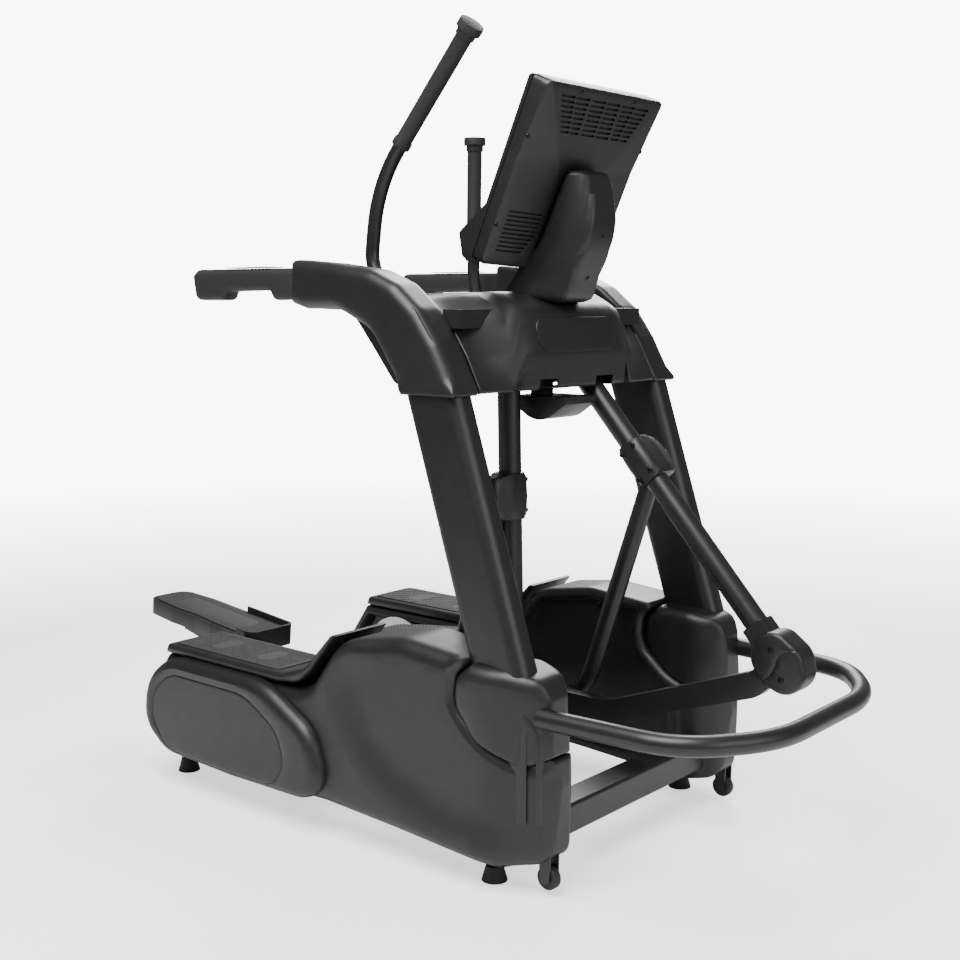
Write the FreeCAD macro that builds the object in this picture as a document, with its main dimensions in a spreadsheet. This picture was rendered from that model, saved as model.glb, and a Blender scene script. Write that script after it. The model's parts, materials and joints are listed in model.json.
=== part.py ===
import FreeCAD, Part

import math
import os

from FreeCAD import Placement, Rotation, Vector

# Elliptical trainer with two drive housings, a bridge that carries the rockers,
# and foot bars that hang from the rockers' lower ends.
# +X is the user's left, +Y is rearward, +Z is up. The origin is on the floor,
# under the middle of the machine. Millimetres and degrees.

doc = FreeCAD.newDocument("EllipticalTrainer")
sheet = doc.addObject("Spreadsheet::Sheet", "Sizes")

# Heights are from the floor, widths from the middle plane, and lengths along Y
# from the datum line across the front of the machine.
SIZES = [
    ("datum_line", -440.3, "Y of the datum line that the lengths start from"),
    ("wall", 4, "wall of the moulded covers"),
    ("gap", 1, "gap between neighbouring covers"),
    ("running_gap", 0.05, "radial clearance of a shaft in its bearing"),
    ("free_gap", 0.4, "clearance between pieces that move past each other"),
    ("housing_inner", 255, "inner face of a drive housing"),
    ("housing_outer", 430, "outer face of a drive housing"),
    ("inner_shell_depth", 7, "thickness of an inner shell"),
    ("oval_depth", 30, "bulge of an oval cover"),
    ("step_height", 345, "height of the step tops"),
    ("mat_depth", 4, "thickness of a step mat"),
    ("rail_middle", 350, "middle of a base rail"),
    ("rail_width", 50, "width of a base rail"),
    ("rail_bottom", 105, "underside of the base rails"),
    ("rail_depth", 50, "depth of a base rail"),
    ("rail_front", -74, "front end of the base rails"),
    ("rail_rear", 1065, "rear end of the base rails"),
    ("tube_wall", 3, "wall of the steel tubes"),
    ("foot_front", 42, "front feet"),
    ("foot_rear", 1041, "rear feet"),
    ("foot_radius", 27, "radius of a foot's pad"),
    ("foot_depth", 32, "height of a foot's pad"),
    ("stem_radius", 6, "radius of a foot's stem"),
    ("wheel_radius", 24, "radius of a transport wheel"),
    ("wheel_width", 20, "width of a transport wheel"),
    ("wheel_place", -86, "transport wheels along the machine"),
    ("wheel_middle", 335, "middle of a transport wheel"),
    ("wheel_height", 36, "height of the wheel axle"),
    ("wheel_axle_radius", 5, "radius of a wheel axle"),
    ("upright_middle", 355, "middle of an upright"),
    ("upright_width", 70, "width of an upright"),
    ("upright_depth", 142, "horizontal depth of an upright"),
    ("upright_corner", 30, "corner radius of an upright"),
    ("upright_top", 1155, "top of an upright"),
    ("upright_knee", 330, "height below which an upright stands straight"),
    ("upright_lean", 18, "lean of an upright, degrees"),
    ("pivot_back", 199.5, "rocker axle along the machine"),
    ("pivot_height", 1069, "height of the rocker axle"),
    ("axle_radius", 15, "radius of the rocker axle"),
    ("hub_radius", 27, "radius of a rocker hub"),
    ("rocker_middle", 100, "middle of a rocker's lower tube"),
    ("rocker_offset", 14.8, "lower tube behind the axle"),
    ("rocker_radius", 25, "radius of a rocker's lower tube"),
    ("rocker_length", 841, "axle to the foot-bar pin"),
    ("left_lean", 42.02, "lean of the left rocker at rest, degrees"),
    ("right_lean", 1.21, "lean of the right rocker at rest, degrees"),
    ("handle_middle", 251.3, "middle of a handle"),
    ("handle_radius", 15.5, "radius of a handle's tube"),
    ("grip_radius", 18, "radius of a grip"),
    ("grip_length", 270, "length of a grip"),
    ("knob_radius", 27, "radius of a grip's end knob"),
    ("link_drop", 322, "axle to the link pin"),
    ("link_middle", 155, "middle of a link's bent tube"),
    ("link_radius", 21, "radius of a link's bent tube"),
    ("link_pin_radius", 10, "radius of the pin that carries a link"),
    ("link_bar_middle", 224, "middle of a link's rear bar"),
    ("link_bar_width", 15, "thickness of a link's rear bar"),
    ("link_reach", 811.8, "link pin to crank pin, along the machine"),
    ("link_fall", 568.1, "link pin to crank pin, downward"),
    ("link_turn", -4.14, "tilt of the right link against the left one, degrees"),
    ("foot_pin_radius", 12, "radius of the pin that carries a foot bar"),
    ("foot_bar_width", 32, "width of a foot bar"),
    ("foot_bar_depth", 50, "depth of a foot bar"),
    ("foot_turn", 12.8, "tilt of the right foot bar against the left one, degrees"),
    ("pedal_inner", 65, "inner edge of a pedal"),
    ("pedal_width", 147, "width of a pedal"),
    ("pedal_length", 440, "length of a pedal"),
    ("pedal_depth", 38, "thickness of a pedal"),
    ("pedal_slope", 7, "slope of the left pedal at rest, degrees"),
    ("pedal_mat_depth", 3, "thickness of a pedal mat"),
    ("crank_back", 890, "crank axis along the machine"),
    ("crank_height", 188, "height of the crank axis"),
    ("crank_throw", 105, "crank axis to crank pin"),
    ("crank_disc_radius", 117, "radius of a crank disc"),
    ("crank_shaft_radius", 12.5, "radius of a crank shaft"),
    ("crank_pulley_radius", 100, "radius of a crank pulley"),
    ("jackshaft_back", 1040, "jackshaft along the machine"),
    ("jackshaft_height", 130, "height of the jackshaft"),
    ("jackshaft_radius", 10, "radius of the jackshaft"),
    ("jackshaft_small_pulley", 28, "jackshaft pulley for the crank belts"),
    ("jackshaft_large_pulley", 34, "jackshaft pulley for the flywheel belt"),
    ("flywheel_back", 300, "flywheel along the machine"),
    ("flywheel_height", 270, "height of the flywheel's axis"),
    ("flywheel_radius", 125, "radius of the flywheel"),
    ("flywheel_pulley", 22, "radius of the flywheel's pulley"),
    ("belt_depth", 3, "thickness of a belt"),
    ("nose_front", -118, "front end of a drive housing"),
    ("nose_length", 130, "length over which a housing narrows to its nose"),
    ("bumper_radius", 20.5, "radius of the front bumper's tube"),
    ("bumper_height", 368, "height of the front bumper"),
    ("bumper_middle", 366, "middle of the bumper's ends"),
    ("bumper_front", -500, "front of the bumper's middle line"),
    ("bridge_half", 312, "half width of the bridge covers"),
    ("shoulder_inner", 315, "inner face of a shoulder cover"),
    ("shoulder_width", 85, "width of a shoulder cover"),
    ("handrail_width", 52, "width of a handrail"),
    ("handrail_rear", 950, "rear end of the handrails"),
    ("console_half", 205, "half width of the console"),
    ("console_back", 200, "lower back edge of the console along the machine"),
    ("console_base", 1239, "height of the console's lower back edge"),
    ("console_tilt", 24.5, "tilt of the console, degrees"),
    ("console_depth", 34, "thickness of the console's back shell"),
    ("key_radius", 11, "radius of a console key"),
]
for row, (alias, value, note) in enumerate(SIZES, start=1):
    sheet.set(f"A{row}", note)
    sheet.set(f"B{row}", str(value))
    sheet.setAlias(f"B{row}", alias)
doc.recompute()

NODES = {}
SIDES = (("left", 1), ("right", -1))


def mm(alias):
    """Value of one size in the sheet."""
    return float(sheet.get(alias))


def back(distance):
    """Y of a place that lies this far behind the datum line."""
    return mm("datum_line") + distance


def shift(points, distance):
    """Outline points with their first coordinate moved along the machine."""
    return [(p[0] + distance,) + tuple(p[1:]) for p in points]


def keep(node, made):
    """Register a finished sub-part under its node name."""
    made.Label = node
    NODES[node] = made
    return made


# ---------------------------------------------------------------- outlines

def corner_cut(before, corner, after, radius):
    """Two tangent points and the middle of the arc that rounds a corner."""
    to_before = (before - corner).normalize()
    to_after = (after - corner).normalize()
    half = to_before.getAngle(to_after) / 2
    reach = radius / math.tan(half)
    limit = 0.48 * min((before - corner).Length, (after - corner).Length)
    if reach > limit:
        reach = limit
        radius = reach * math.tan(half)
    inward = (to_before + to_after).normalize()
    middle = corner + inward * (radius / math.sin(half) - radius)
    return corner + to_before * reach, middle, corner + to_after * reach


def rounded(points):
    """Closed outline in a plane; each point is (a, b) or (a, b, corner radius)."""
    corners = [Vector(p[0], p[1], 0) for p in points]
    radii = [p[2] if len(p) > 2 else 0 for p in points]
    count = len(corners)
    pieces = []
    starts = []
    ends = []
    for i, corner in enumerate(corners):
        if radii[i]:
            first, middle, last = corner_cut(corners[i - 1], corner, corners[(i + 1) % count], radii[i])
            pieces.append(Part.Arc(first, middle, last))
            starts.append(first)
            ends.append(last)
        else:
            pieces.append(None)
            starts.append(corner)
            ends.append(corner)
    outline = []
    for i in range(count):
        if pieces[i]:
            outline.append(pieces[i])
        following = starts[(i + 1) % count]
        if ends[i].distanceToPoint(following) > 0.001:
            outline.append(Part.LineSegment(ends[i], following))
    return outline


def circle(a, b, radius):
    """Closed round outline."""
    return [Part.Circle(Vector(a, b, 0), Vector(0, 0, 1), radius)]


def box_outline(low_a, low_b, high_a, high_b, radius=0):
    """Closed rectangular outline with rounded corners."""
    return rounded([(low_a, low_b, radius), (high_a, low_b, radius),
                    (high_a, high_b, radius), (low_a, high_b, radius)])


def inset(points, distance):
    """Points of an outline moved inward by the same distance on every side."""
    area = 0
    for i, p in enumerate(points):
        q = points[(i + 1) % len(points)]
        area += p[0] * q[1] - q[0] * p[1]
    turn = 1 if area > 0 else -1
    moved = []
    for i, p in enumerate(points):
        before = points[i - 1]
        after = points[(i + 1) % len(points)]
        first = Vector(p[0] - before[0], p[1] - before[1], 0).normalize()
        second = Vector(after[0] - p[0], after[1] - p[1], 0).normalize()
        normal_first = Vector(-first.y, first.x, 0) * turn
        normal_second = Vector(-second.y, second.x, 0) * turn
        step = (normal_first + normal_second) * (distance / (1 + normal_first.dot(normal_second)))
        radius = p[2] if len(p) > 2 else 0
        outer_corner = first.cross(second).z * turn > 0
        if radius:
            radius = max(radius - distance, 0.5) if outer_corner else radius + distance
        moved.append((p[0] + step.x, p[1] + step.y, radius))
    return moved


# ---------------------------------------------------------------- features

def new_body(name):
    """Empty PartDesign body."""
    return doc.addObject("PartDesign::Body", name)


def add_sketch(body, view, outline, offset):
    """Sketch on one of the body's own planes, moved along the plane's normal."""
    role = {"side": "YZ_Plane", "top": "XY_Plane", "front": "XZ_Plane"}[view]
    plane = [f for f in body.Origin.OriginFeatures if f.Role == role][0]
    sketch = body.newObject("Sketcher::SketchObject", body.Name + "_sketch")
    sketch.AttachmentSupport = (plane, "")
    sketch.MapMode = "FlatFace"
    sketch.setExpression("AttachmentOffset.Base.z", offset)
    sketch.addGeometry(outline, False)
    return sketch


def add_pad(body, view, outline, start, length):
    """Material from start, over length, along +X (side), +Z (top) or +Y (front)."""
    offset = f"-({start})-({length})" if view == "front" else start
    sketch = add_sketch(body, view, outline, offset)
    pad = body.newObject("PartDesign::Pad", body.Name + "_pad")
    pad.Profile = sketch
    pad.setExpression("Length", length)
    doc.recompute()
    return pad


def add_pocket(body, view, outline, start, length):
    """Hole from start, over length, in the same directions as add_pad."""
    offset = f"-({start})-({length})" if view == "front" else start
    sketch = add_sketch(body, view, outline, offset)
    before = body.Shape.Volume
    pocket = body.newObject("PartDesign::Pocket", body.Name + "_pocket")
    pocket.Profile = sketch
    pocket.Reversed = True
    pocket.setExpression("Length", length)
    doc.recompute()
    if not body.Shape.Volume < before:
        raise ValueError(f"a pocket of {body.Name} cuts nothing")
    return pocket


def span(side, start, length):
    """Start of a slab that lies between start and start + length on one side."""
    return start if side > 0 else f"-({start})-({length})"


def slab(name, outline, side, start, length):
    """Body padded from a side-view outline on the left or right of the machine."""
    body = new_body(name)
    add_pad(body, "side", outline, span(side, start, length), length)
    return body


def rod(name, radius, length, x_low, y, z):
    """Round bar along X; radius and length are expressions."""
    bar = doc.addObject("Part::Cylinder", name)
    bar.setExpression("Radius", radius)
    bar.setExpression("Height", length)
    bar.Placement = Placement(Vector(x_low, y, z), Rotation(Vector(0, 1, 0), 90))
    return bar


def side_rod(name, side, radius, start, length, y, z):
    """Round bar along X on the left or right; start and length are numbers."""
    low = start if side > 0 else -start - length
    return rod(name, radius, str(length), low, y, z)


def block(name, low, high):
    """Box between two corners."""
    made = doc.addObject("Part::Box", name)
    made.Length = high[0] - low[0]
    made.Width = high[1] - low[1]
    made.Height = high[2] - low[2]
    made.Placement.Base = Vector(*low)
    return made


def side_block(name, side, low, high):
    """Box on the left, or its mirror image on the right."""
    if side > 0:
        return block(name, low, high)
    return block(name, (-high[0], low[1], low[2]), (-low[0], high[1], high[2]))


def fuse(name, shapes):
    """Union of several objects."""
    made = doc.addObject("Part::MultiFuse", name)
    made.Shapes = shapes
    doc.recompute()
    return made


def common(name, first, second):
    """What two objects share."""
    made = doc.addObject("Part::MultiCommon", name)
    made.Shapes = [first, second]
    doc.recompute()
    return made


def cut(name, base, tool):
    """Base with the tool taken away."""
    made = doc.addObject("Part::Cut", name)
    made.Base = base
    made.Tool = tool
    doc.recompute()
    return made


def group(name, members):
    """Separate solids that share one node."""
    made = doc.addObject("Part::Compound", name)
    made.Links = members
    doc.recompute()
    return made


def bent_path(points):
    """Runs joined by tangent arcs; each point is (x, y, z) or (x, y, z, radius)."""
    corners = [Vector(*p[:3]) for p in points]
    edges = []
    last = corners[0]
    for i in range(1, len(corners) - 1):
        first, middle, following = corner_cut(corners[i - 1], corners[i], corners[i + 1], points[i][3])
        edges.append(Part.LineSegment(last, first).toShape())
        edges.append(Part.Arc(first, middle, following).toShape())
        last = following
    edges.append(Part.LineSegment(last, corners[-1]).toShape())
    return Part.Wire(edges)


def bent_tube(name, points, radius):
    """Round bar swept along a bent path; radius is an expression."""
    spine = doc.addObject("Part::Feature", name + "_spine")
    spine.Shape = bent_path(points)
    start = Vector(*points[0][:3])
    ahead = Vector(*points[1][:3]) - start
    ring = doc.addObject("Part::Circle", name + "_ring")
    ring.setExpression("Radius", radius)
    ring.Placement = Placement(start, Rotation(Vector(0, 0, 1), ahead))
    tube = doc.addObject("Part::Sweep", name)
    tube.Sections = [ring]
    tube.Spine = spine
    tube.Solid = True
    tube.Frenet = False
    doc.recompute()
    return tube


def straight_rod(name, radius, first, last):
    """Round bar between two points; radius is an expression."""
    run = Vector(*last) - Vector(*first)
    bar = doc.addObject("Part::Cylinder", name)
    bar.setExpression("Radius", radius)
    bar.Height = run.Length
    bar.Placement = Placement(Vector(*first), Rotation(Vector(0, 0, 1), run))
    return bar


def upright_section(side, height, grow):
    """Rounded plan section of an upright at a height, grown by a distance."""
    half_width = mm("upright_width") / 2 + grow
    half_depth = mm("upright_depth") / 2 + grow
    middle_x = side * mm("upright_middle")
    middle_y = upright_line(height)
    return box_outline(middle_x - half_width, middle_y - half_depth, middle_x + half_width,
                       middle_y + half_depth, mm("upright_corner") + grow)


def nose_plan(name, side, grow):
    """Tall block whose plan is a housing's own, rounded at the nose and grown by a distance."""
    low = mm("housing_inner")
    high = mm("housing_outer")
    front = mm("nose_front")
    taper = front + mm("nose_length")
    outline = [(high, 1200), (high, taper, 200), (high - 58, front + 4, 60), (low + 40, front - 6, 58),
               (low, taper - 52, 130), (low, 1200)]
    moved = [(side * p[0], back(p[1])) + tuple(p[2:]) for p in inset(outline, -grow)]
    body = new_body(name)
    add_pad(body, "top", rounded(moved), "20", "600")
    return body


def leaning_tube(name, side, inner, outer_grow, low, high):
    """Upright's rounded section extruded along its lean; inner is its cavity's inset, or none."""
    half_width = mm("upright_width") / 2 + outer_grow
    half_depth = mm("upright_depth") / 2 + outer_grow
    corner = mm("upright_corner") + outer_grow
    lean = math.radians(mm("upright_lean"))
    middle_x = side * mm("upright_middle")
    middle_y = upright_line(low)
    wires = [Part.Wire([g.toShape() for g in box_outline(
        middle_x - half_width, middle_y - half_depth, middle_x + half_width, middle_y + half_depth, corner)])]
    if inner:
        wires.append(Part.Wire([g.toShape() for g in box_outline(
            middle_x - half_width + inner, middle_y - half_depth + inner,
            middle_x + half_width - inner, middle_y + half_depth - inner, corner - inner)]))
    section = doc.addObject("Part::Feature", name + "_section")
    section.Shape = Part.Face(wires) if len(wires) == 1 else Part.Face(wires[0]).cut(Part.Face(wires[1]))
    section.Placement = Placement(Vector(0, 0, low), Rotation())
    tube = doc.addObject("Part::Extrusion", name)
    tube.Base = section
    tube.DirMode = "Custom"
    tube.Dir = Vector(0, math.sin(lean), math.cos(lean))
    tube.LengthFwd = (high - low) / math.cos(lean)
    tube.Solid = True
    doc.recompute()
    return tube


def shoulder_outline():
    """Side outline of a shoulder cover, from the lower front corner up and round."""
    return shift([(104, 980, 6), (160, 1082, 60), (212, 1152, 60), (275, 1202, 60), (345, 1230, 100),
                  (470, 1246, 120), (598, 1256, 6), (602, 1162, 6), (556, 1149, 8), (440, 1149, 120),
                  (345, 1108, 90), (252, 980, 4)], mm("datum_line"))


def bridge_outline():
    """Side outline of the bridge covers."""
    return shift([(104, 982, 6), (96, 1060, 60), (118, 1150, 60), (190, 1188, 60), (460, 1182, 200),
                  (575, 1166, 7), (572, 1148, 7), (480, 1146, 50), (420, 1076, 40), (352, 994, 30),
                  (300, 975, 30), (250, 982, 10)], mm("datum_line"))


def upright_line(height):
    """Y of an upright's middle at a height."""
    return back(186) + (height - 980) * math.tan(math.radians(mm("upright_lean")))


# ---------------------------------------------------------------- base frame

def build_base():
    """Rails, crossbars, feet, wheel brackets and wheels."""
    rail_top = mm("rail_bottom") + mm("rail_depth")
    rail_inner = mm("rail_middle") - mm("rail_width") / 2
    hollow = mm("tube_wall")
    bearing_radius = mm("jackshaft_radius") + 6
    for name, side in SIDES:
        low_x = side * mm("rail_middle") - mm("rail_width") / 2
        high_x = low_x + mm("rail_width")
        body = new_body(name + "_base_rail_body")
        start = "Sizes.datum_line + Sizes.rail_front"
        length = "Sizes.rail_rear - Sizes.rail_front"
        add_pad(body, "front", box_outline(low_x, mm("rail_bottom"), high_x, rail_top, 6), start, length)
        add_pocket(body, "front", box_outline(low_x + hollow, mm("rail_bottom") + hollow,
                                              high_x - hollow, rail_top - hollow, 3), start, length)
        hole = circle(back(mm("jackshaft_back")), mm("jackshaft_height"), bearing_radius)
        add_pocket(body, "side", hole, str(low_x - 1), "Sizes.rail_width + 2")
        keep(name + "_base_rail", body)

    front_bar = new_body("front_crossbar")
    add_pad(front_bar, "side", box_outline(back(-70), 90, back(0), rail_top, 8), str(-rail_inner), str(2 * rail_inner))
    add_pocket(front_bar, "side", box_outline(back(-67), 93, back(-3), rail_top - 3, 5), str(-rail_inner), str(2 * rail_inner))
    rear_bar = new_body("rear_crossbar")
    rear_low = back(mm("jackshaft_back") - 25)
    rear_high = back(mm("jackshaft_back") + 25)
    add_pad(rear_bar, "side", box_outline(rear_low, mm("rail_bottom"), rear_high, rail_top, 6),
            str(-rail_inner), str(2 * rail_inner))
    add_pocket(rear_bar, "side", box_outline(rear_low + 3, mm("rail_bottom") + 3, rear_high - 3, rail_top - 3, 3),
               str(-rail_inner), str(2 * rail_inner))
    keep("base_crossbars", group("base_crossbars_group", [front_bar, rear_bar]))

    feet = []
    for name, side in SIDES:
        for place, alias in (("front", "foot_front"), ("rear", "foot_rear")):
            middle = Vector(side * mm("rail_middle"), back(mm(alias)), 0)
            pad = doc.addObject("Part::Cone", f"{name}_{place}_foot_pad")
            pad.setExpression("Radius1", "Sizes.foot_radius")
            pad.setExpression("Radius2", "Sizes.foot_radius - 9")
            pad.setExpression("Height", "Sizes.foot_depth")
            pad.Placement.Base = middle
            stem = doc.addObject("Part::Cylinder", f"{name}_{place}_foot_stem")
            stem.setExpression("Radius", "Sizes.stem_radius")
            stem.setExpression("Height", "Sizes.rail_bottom - Sizes.foot_depth")
            stem.Placement.Base = middle + Vector(0, 0, mm("foot_depth"))
            feet.append(fuse(f"{name}_{place}_foot", [pad, stem]))
    keep("levelling_feet", group("levelling_feet_group", feet))

    brackets = []
    reach = mm("wheel_width") / 2 + 2
    for name, side in SIDES:
        y = back(mm("wheel_place"))
        middle = mm("wheel_middle")
        fork = [(y - 14, mm("rail_bottom")), (y + 14, mm("rail_bottom")), (y + 12, 26, 11), (y - 12, 26, 11)]
        inner = slab(name + "_fork_inner", rounded(fork), side, str(middle - reach - 4), "4")
        outer = slab(name + "_fork_outer", rounded(fork), side, str(middle + reach), "4")
        axle = side_rod(name + "_wheel_axle", side, "Sizes.wheel_axle_radius", middle - reach - 4, 2 * reach + 8,
                        y, mm("wheel_height"))
        brackets.append(fuse(name + "_bracket", [inner, outer, axle]))
        tyre = new_body(name + "_wheel_body")
        low = side * middle - mm("wheel_width") / 2
        add_pad(tyre, "side", circle(y, mm("wheel_height"), mm("wheel_radius")), str(low), "Sizes.wheel_width")
        add_pocket(tyre, "side", circle(y, mm("wheel_height"), mm("wheel_axle_radius") + mm("running_gap")),
                   str(low - 1), "Sizes.wheel_width + 2")
        keep(name + "_wheel", tyre)
    keep("wheel_brackets", group("wheel_brackets_group", brackets))


def build_uprights():
    """Leaning uprights, the bridge beam between them, the axle and the bumper."""
    rail_top = mm("rail_bottom") + mm("rail_depth")
    for name, side in SIDES:
        knee = mm("upright_knee")
        tube = leaning_tube(name + "_upright_tube", side, mm("tube_wall"), 0, knee, mm("upright_top"))
        post = new_body(name + "_upright_post")
        add_pad(post, "top", upright_section(side, knee, 0), str(rail_top), f"{knee} - {rail_top}")
        add_pocket(post, "top", upright_section(side, knee, -mm("tube_wall")), str(rail_top), f"{knee} - {rail_top}")
        under_cover = inset(shoulder_outline(), mm("wall") + 0.5)[:4]
        beyond = [(under_cover[3][0], 1400), (under_cover[0][0] - 200, 1400), (under_cover[0][0] - 200, 960)]
        trim = slab(name + "_upright_trim", rounded(under_cover + beyond), side, "Sizes.upright_middle - 60", "120")
        around = side_block(name + "_nose_surround", side, (200, back(-300), 100), (600, back(60), 460))
        nose = cut(name + "_nose_clearance", around, nose_plan(name + "_nose_room", side, -mm("wall") - 1.5))
        standing = fuse(name + "_upright_fused", [tube, post])
        keep(name + "_upright", cut(name + "_upright_cut", standing, fuse(name + "_upright_trims", [trim, nose])))
    inner = mm("upright_middle") - mm("upright_width") / 2
    beam = block("beam", (-inner, back(160), 1112), (inner, back(205), 1150))
    hanger = block("hanger", (-18, back(182), 962), (18, back(217), 1112))
    bored = cut("bored_hanger", hanger, rod("hanger_bore", "Sizes.axle_radius", "40", -20,
                                            back(mm("pivot_back")), mm("pivot_height")))
    keep("bridge_beam", fuse("bridge_beam_fused", [beam, bored]))
    keep("rocker_axle", rod("rocker_axle_rod", "Sizes.axle_radius", str(2 * inner), -inner,
                            back(mm("pivot_back")), mm("pivot_height")))
    end_y = upright_line(mm("bumper_height")) - mm("upright_depth") / 2
    front = back(mm("bumper_front"))
    z = mm("bumper_height")
    end_x = mm("bumper_middle")
    half = [(end_x, end_y, z, 0), (end_x - 21, front + 115, z, 170), (185, front, z, 260)]
    other_half = [(-p[0],) + p[1:] for p in reversed(half)]
    tube = bent_tube("bumper_tube", half + other_half, "Sizes.bumper_radius")
    stop = []
    for name, side in SIDES:
        stop.append(leaning_tube(name + "_bumper_stop", side, 0, 0, z - 60, z + 60))
    keep("front_bumper", cut("front_bumper_cut", tube, group("bumper_stops", stop)))


# ---------------------------------------------------------------- housings

def housing_points():
    """Side outline of a housing's shell, under the step cap and the collar."""
    front = mm("nose_front")
    outline = [(-10, 54, 60), (front + 13, 72, 50), (front, 230, 60), (front + 8, 290, 8), (-60, 264, 50),
               (30, 300, 120), (106, 365, 60), (98, 430, 40), (64, 462, 12), (250, 478, 160), (420, 450, 120),
               (520, 321, 80), (700, 320, 30), (1024, 318, 14), (1107, 200, 70), (1096, 105, 60),
               (985, 57, 40), (470, 76, 60), (250, 68, 200)]
    return shift(outline, mm("datum_line"))


def build_housings():
    """Outer and inner shells, oval covers, collars, step caps and mats."""
    wall = mm("wall")
    shell = housing_points()
    shell_start = "Sizes.housing_inner + Sizes.inner_shell_depth"
    shell_length = "Sizes.housing_outer - Sizes.housing_inner - Sizes.inner_shell_depth"
    cavity_length = f"{shell_length} - Sizes.wall"
    crank = (back(mm("crank_back")), mm("crank_height"))
    window = circle(crank[0], crank[1], mm("crank_disc_radius") + 2)
    gap = mm("gap")
    oval = [(445, 130, 90), (500, 78, 120), (760, 72, 300), (1000, 78, 110), (1088, 140, 90),
            (1072, 255, 120), (985, 322, 160), (640, 324, 200), (480, 240, 120)]
    oval = shift(oval, mm("datum_line"))
    front = mm("nose_front") + 8
    collar = [(front, 290 + gap, 6), (-60, 264 + gap, 50), (30, 300 + gap, 120), (105, 366, 60), (97, 429, 40),
              (60, 461, 10), (-20, 456, 60), (front + 20, 436, 40), (front + 6, 400, 20)]
    collar = shift(collar, mm("datum_line"))
    cap = [(1022, 320), (1010, mm("step_height"), 4), (600, mm("step_height"), 60), (525, 372, 60),
           (440, 462, 40), (432, 458), (505, 366, 80), (545, 332, 60), (620, 322, 60), (700, 321, 10)]
    cap = shift(cap, mm("datum_line"))
    ovals = []
    collars = []
    caps = []
    mats = []
    for name, side in SIDES:
        blank = slab(name + "_outer_shell_body", rounded(shell), side, shell_start, shell_length)
        outer = common(name + "_outer_shell_block", blank, nose_plan(name + "_nose", side, 0))
        post_room = new_body(name + "_shell_post_room")
        add_pad(post_room, "top", upright_section(side, mm("upright_knee"), 3), "250", "Sizes.upright_knee - 250")
        cavity_body = slab(name + "_shell_cavity_body", rounded(inset(shell, wall)), side,
                           "Sizes.housing_inner", "Sizes.housing_outer - Sizes.housing_inner")
        openings = [common(name + "_shell_cavity", cavity_body, nose_plan(name + "_nose_cavity", side, -wall)),
                    leaning_tube(name + "_shell_clearance", side, 0, 3, mm("upright_knee"), 500),
                    common(name + "_shell_post_clearance", post_room,
                           nose_plan(name + "_nose_post_room", side, -wall - 0.5))]
        for alias in ("foot_front", "foot_rear"):
            openings.append(straight_rod(f"{name}_{alias}_hole", "Sizes.stem_radius + 4",
                                         (side * mm("rail_middle"), back(mm(alias)), 40),
                                         (side * mm("rail_middle"), back(mm(alias)), 100)))
        wheel_back = back(mm("wheel_place"))
        openings.append(side_block(name + "_wheel_opening", side,
                                   (mm("wheel_middle") - 22, wheel_back - 60, 40),
                                   (mm("wheel_middle") + 22, wheel_back + 22, 106)))
        openings.append(side_block(name + "_crossbar_opening", side,
                                   (mm("housing_inner"), back(-74), 86), (mm("housing_inner") + 40, back(4), 162)))
        keep(name + "_outer_shell", cut(name + "_outer_shell_cut", outer, fuse(name + "_shell_openings", openings)))

        plate = slab(name + "_inner_shell_body", rounded(shell), side,
                     "Sizes.housing_inner", "Sizes.inner_shell_depth")
        for hole in (window, box_outline(back(-74), 86, back(4), 162, 10),
                     box_outline(back(mm("jackshaft_back") - 28), 102, back(mm("jackshaft_back") + 28), 158, 6)):
            add_pocket(plate, "side", hole, span(side, "Sizes.housing_inner", "Sizes.inner_shell_depth"),
                       "Sizes.inner_shell_depth")
        keep(name + "_inner_shell", common(name + "_inner_shell_plate", plate,
                                           nose_plan(name + "_nose_plate", side, 0)))

        cover = slab(name + "_oval", rounded(oval), side, "Sizes.housing_outer", "Sizes.oval_depth")
        hollow = "Sizes.oval_depth - Sizes.wall"
        add_pocket(cover, "side", rounded(inset(oval, wall)), span(side, "Sizes.housing_outer", hollow), hollow)
        ovals.append(cover)

        band = slab(name + "_collar_body", rounded(collar), side, "Sizes.housing_inner + 7",
                    "Sizes.housing_outer - Sizes.housing_inner - 12")
        nosed_band = common(name + "_collar_band", band, nose_plan(name + "_nose_collar", side, -5))
        knee = mm("upright_knee")
        passage = leaning_tube(name + "_collar_passage", side, 0, 1, knee, 500)
        post_passage = new_body(name + "_collar_post_passage")
        add_pad(post_passage, "top", upright_section(side, knee, 1), "240", f"{knee} - 240")
        port = straight_rod(name + "_bumper_port", "Sizes.bumper_radius + 4",
                            (side * mm("bumper_middle"), back(-260), mm("bumper_height")),
                            (side * mm("bumper_middle"), back(0), mm("bumper_height")))
        collars.append(cut(name + "_collar", nosed_band,
                           fuse(name + "_collar_openings", [passage, post_passage, port])))

        step = slab(name + "_step_cap", rounded(cap), side, "Sizes.housing_inner + 2",
                    "Sizes.housing_outer - Sizes.housing_inner - 4")
        caps.append(step)
        mat = new_body(name + "_step_mat")
        low = side * (mm("housing_inner") + mm("housing_outer")) / 2 - 70
        add_pad(mat, "top", box_outline(low, back(622), low + 140, back(1000), 18),
                "Sizes.step_height", "Sizes.mat_depth")
        mats.append(mat)
    keep("oval_covers", group("oval_covers_group", ovals))
    keep("collar_covers", group("collar_covers_group", collars))
    keep("step_caps", group("step_caps_group", caps))
    keep("step_mats", group("step_mats_group", mats))


# ---------------------------------------------------------------- bridge, shoulders and handrails

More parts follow.
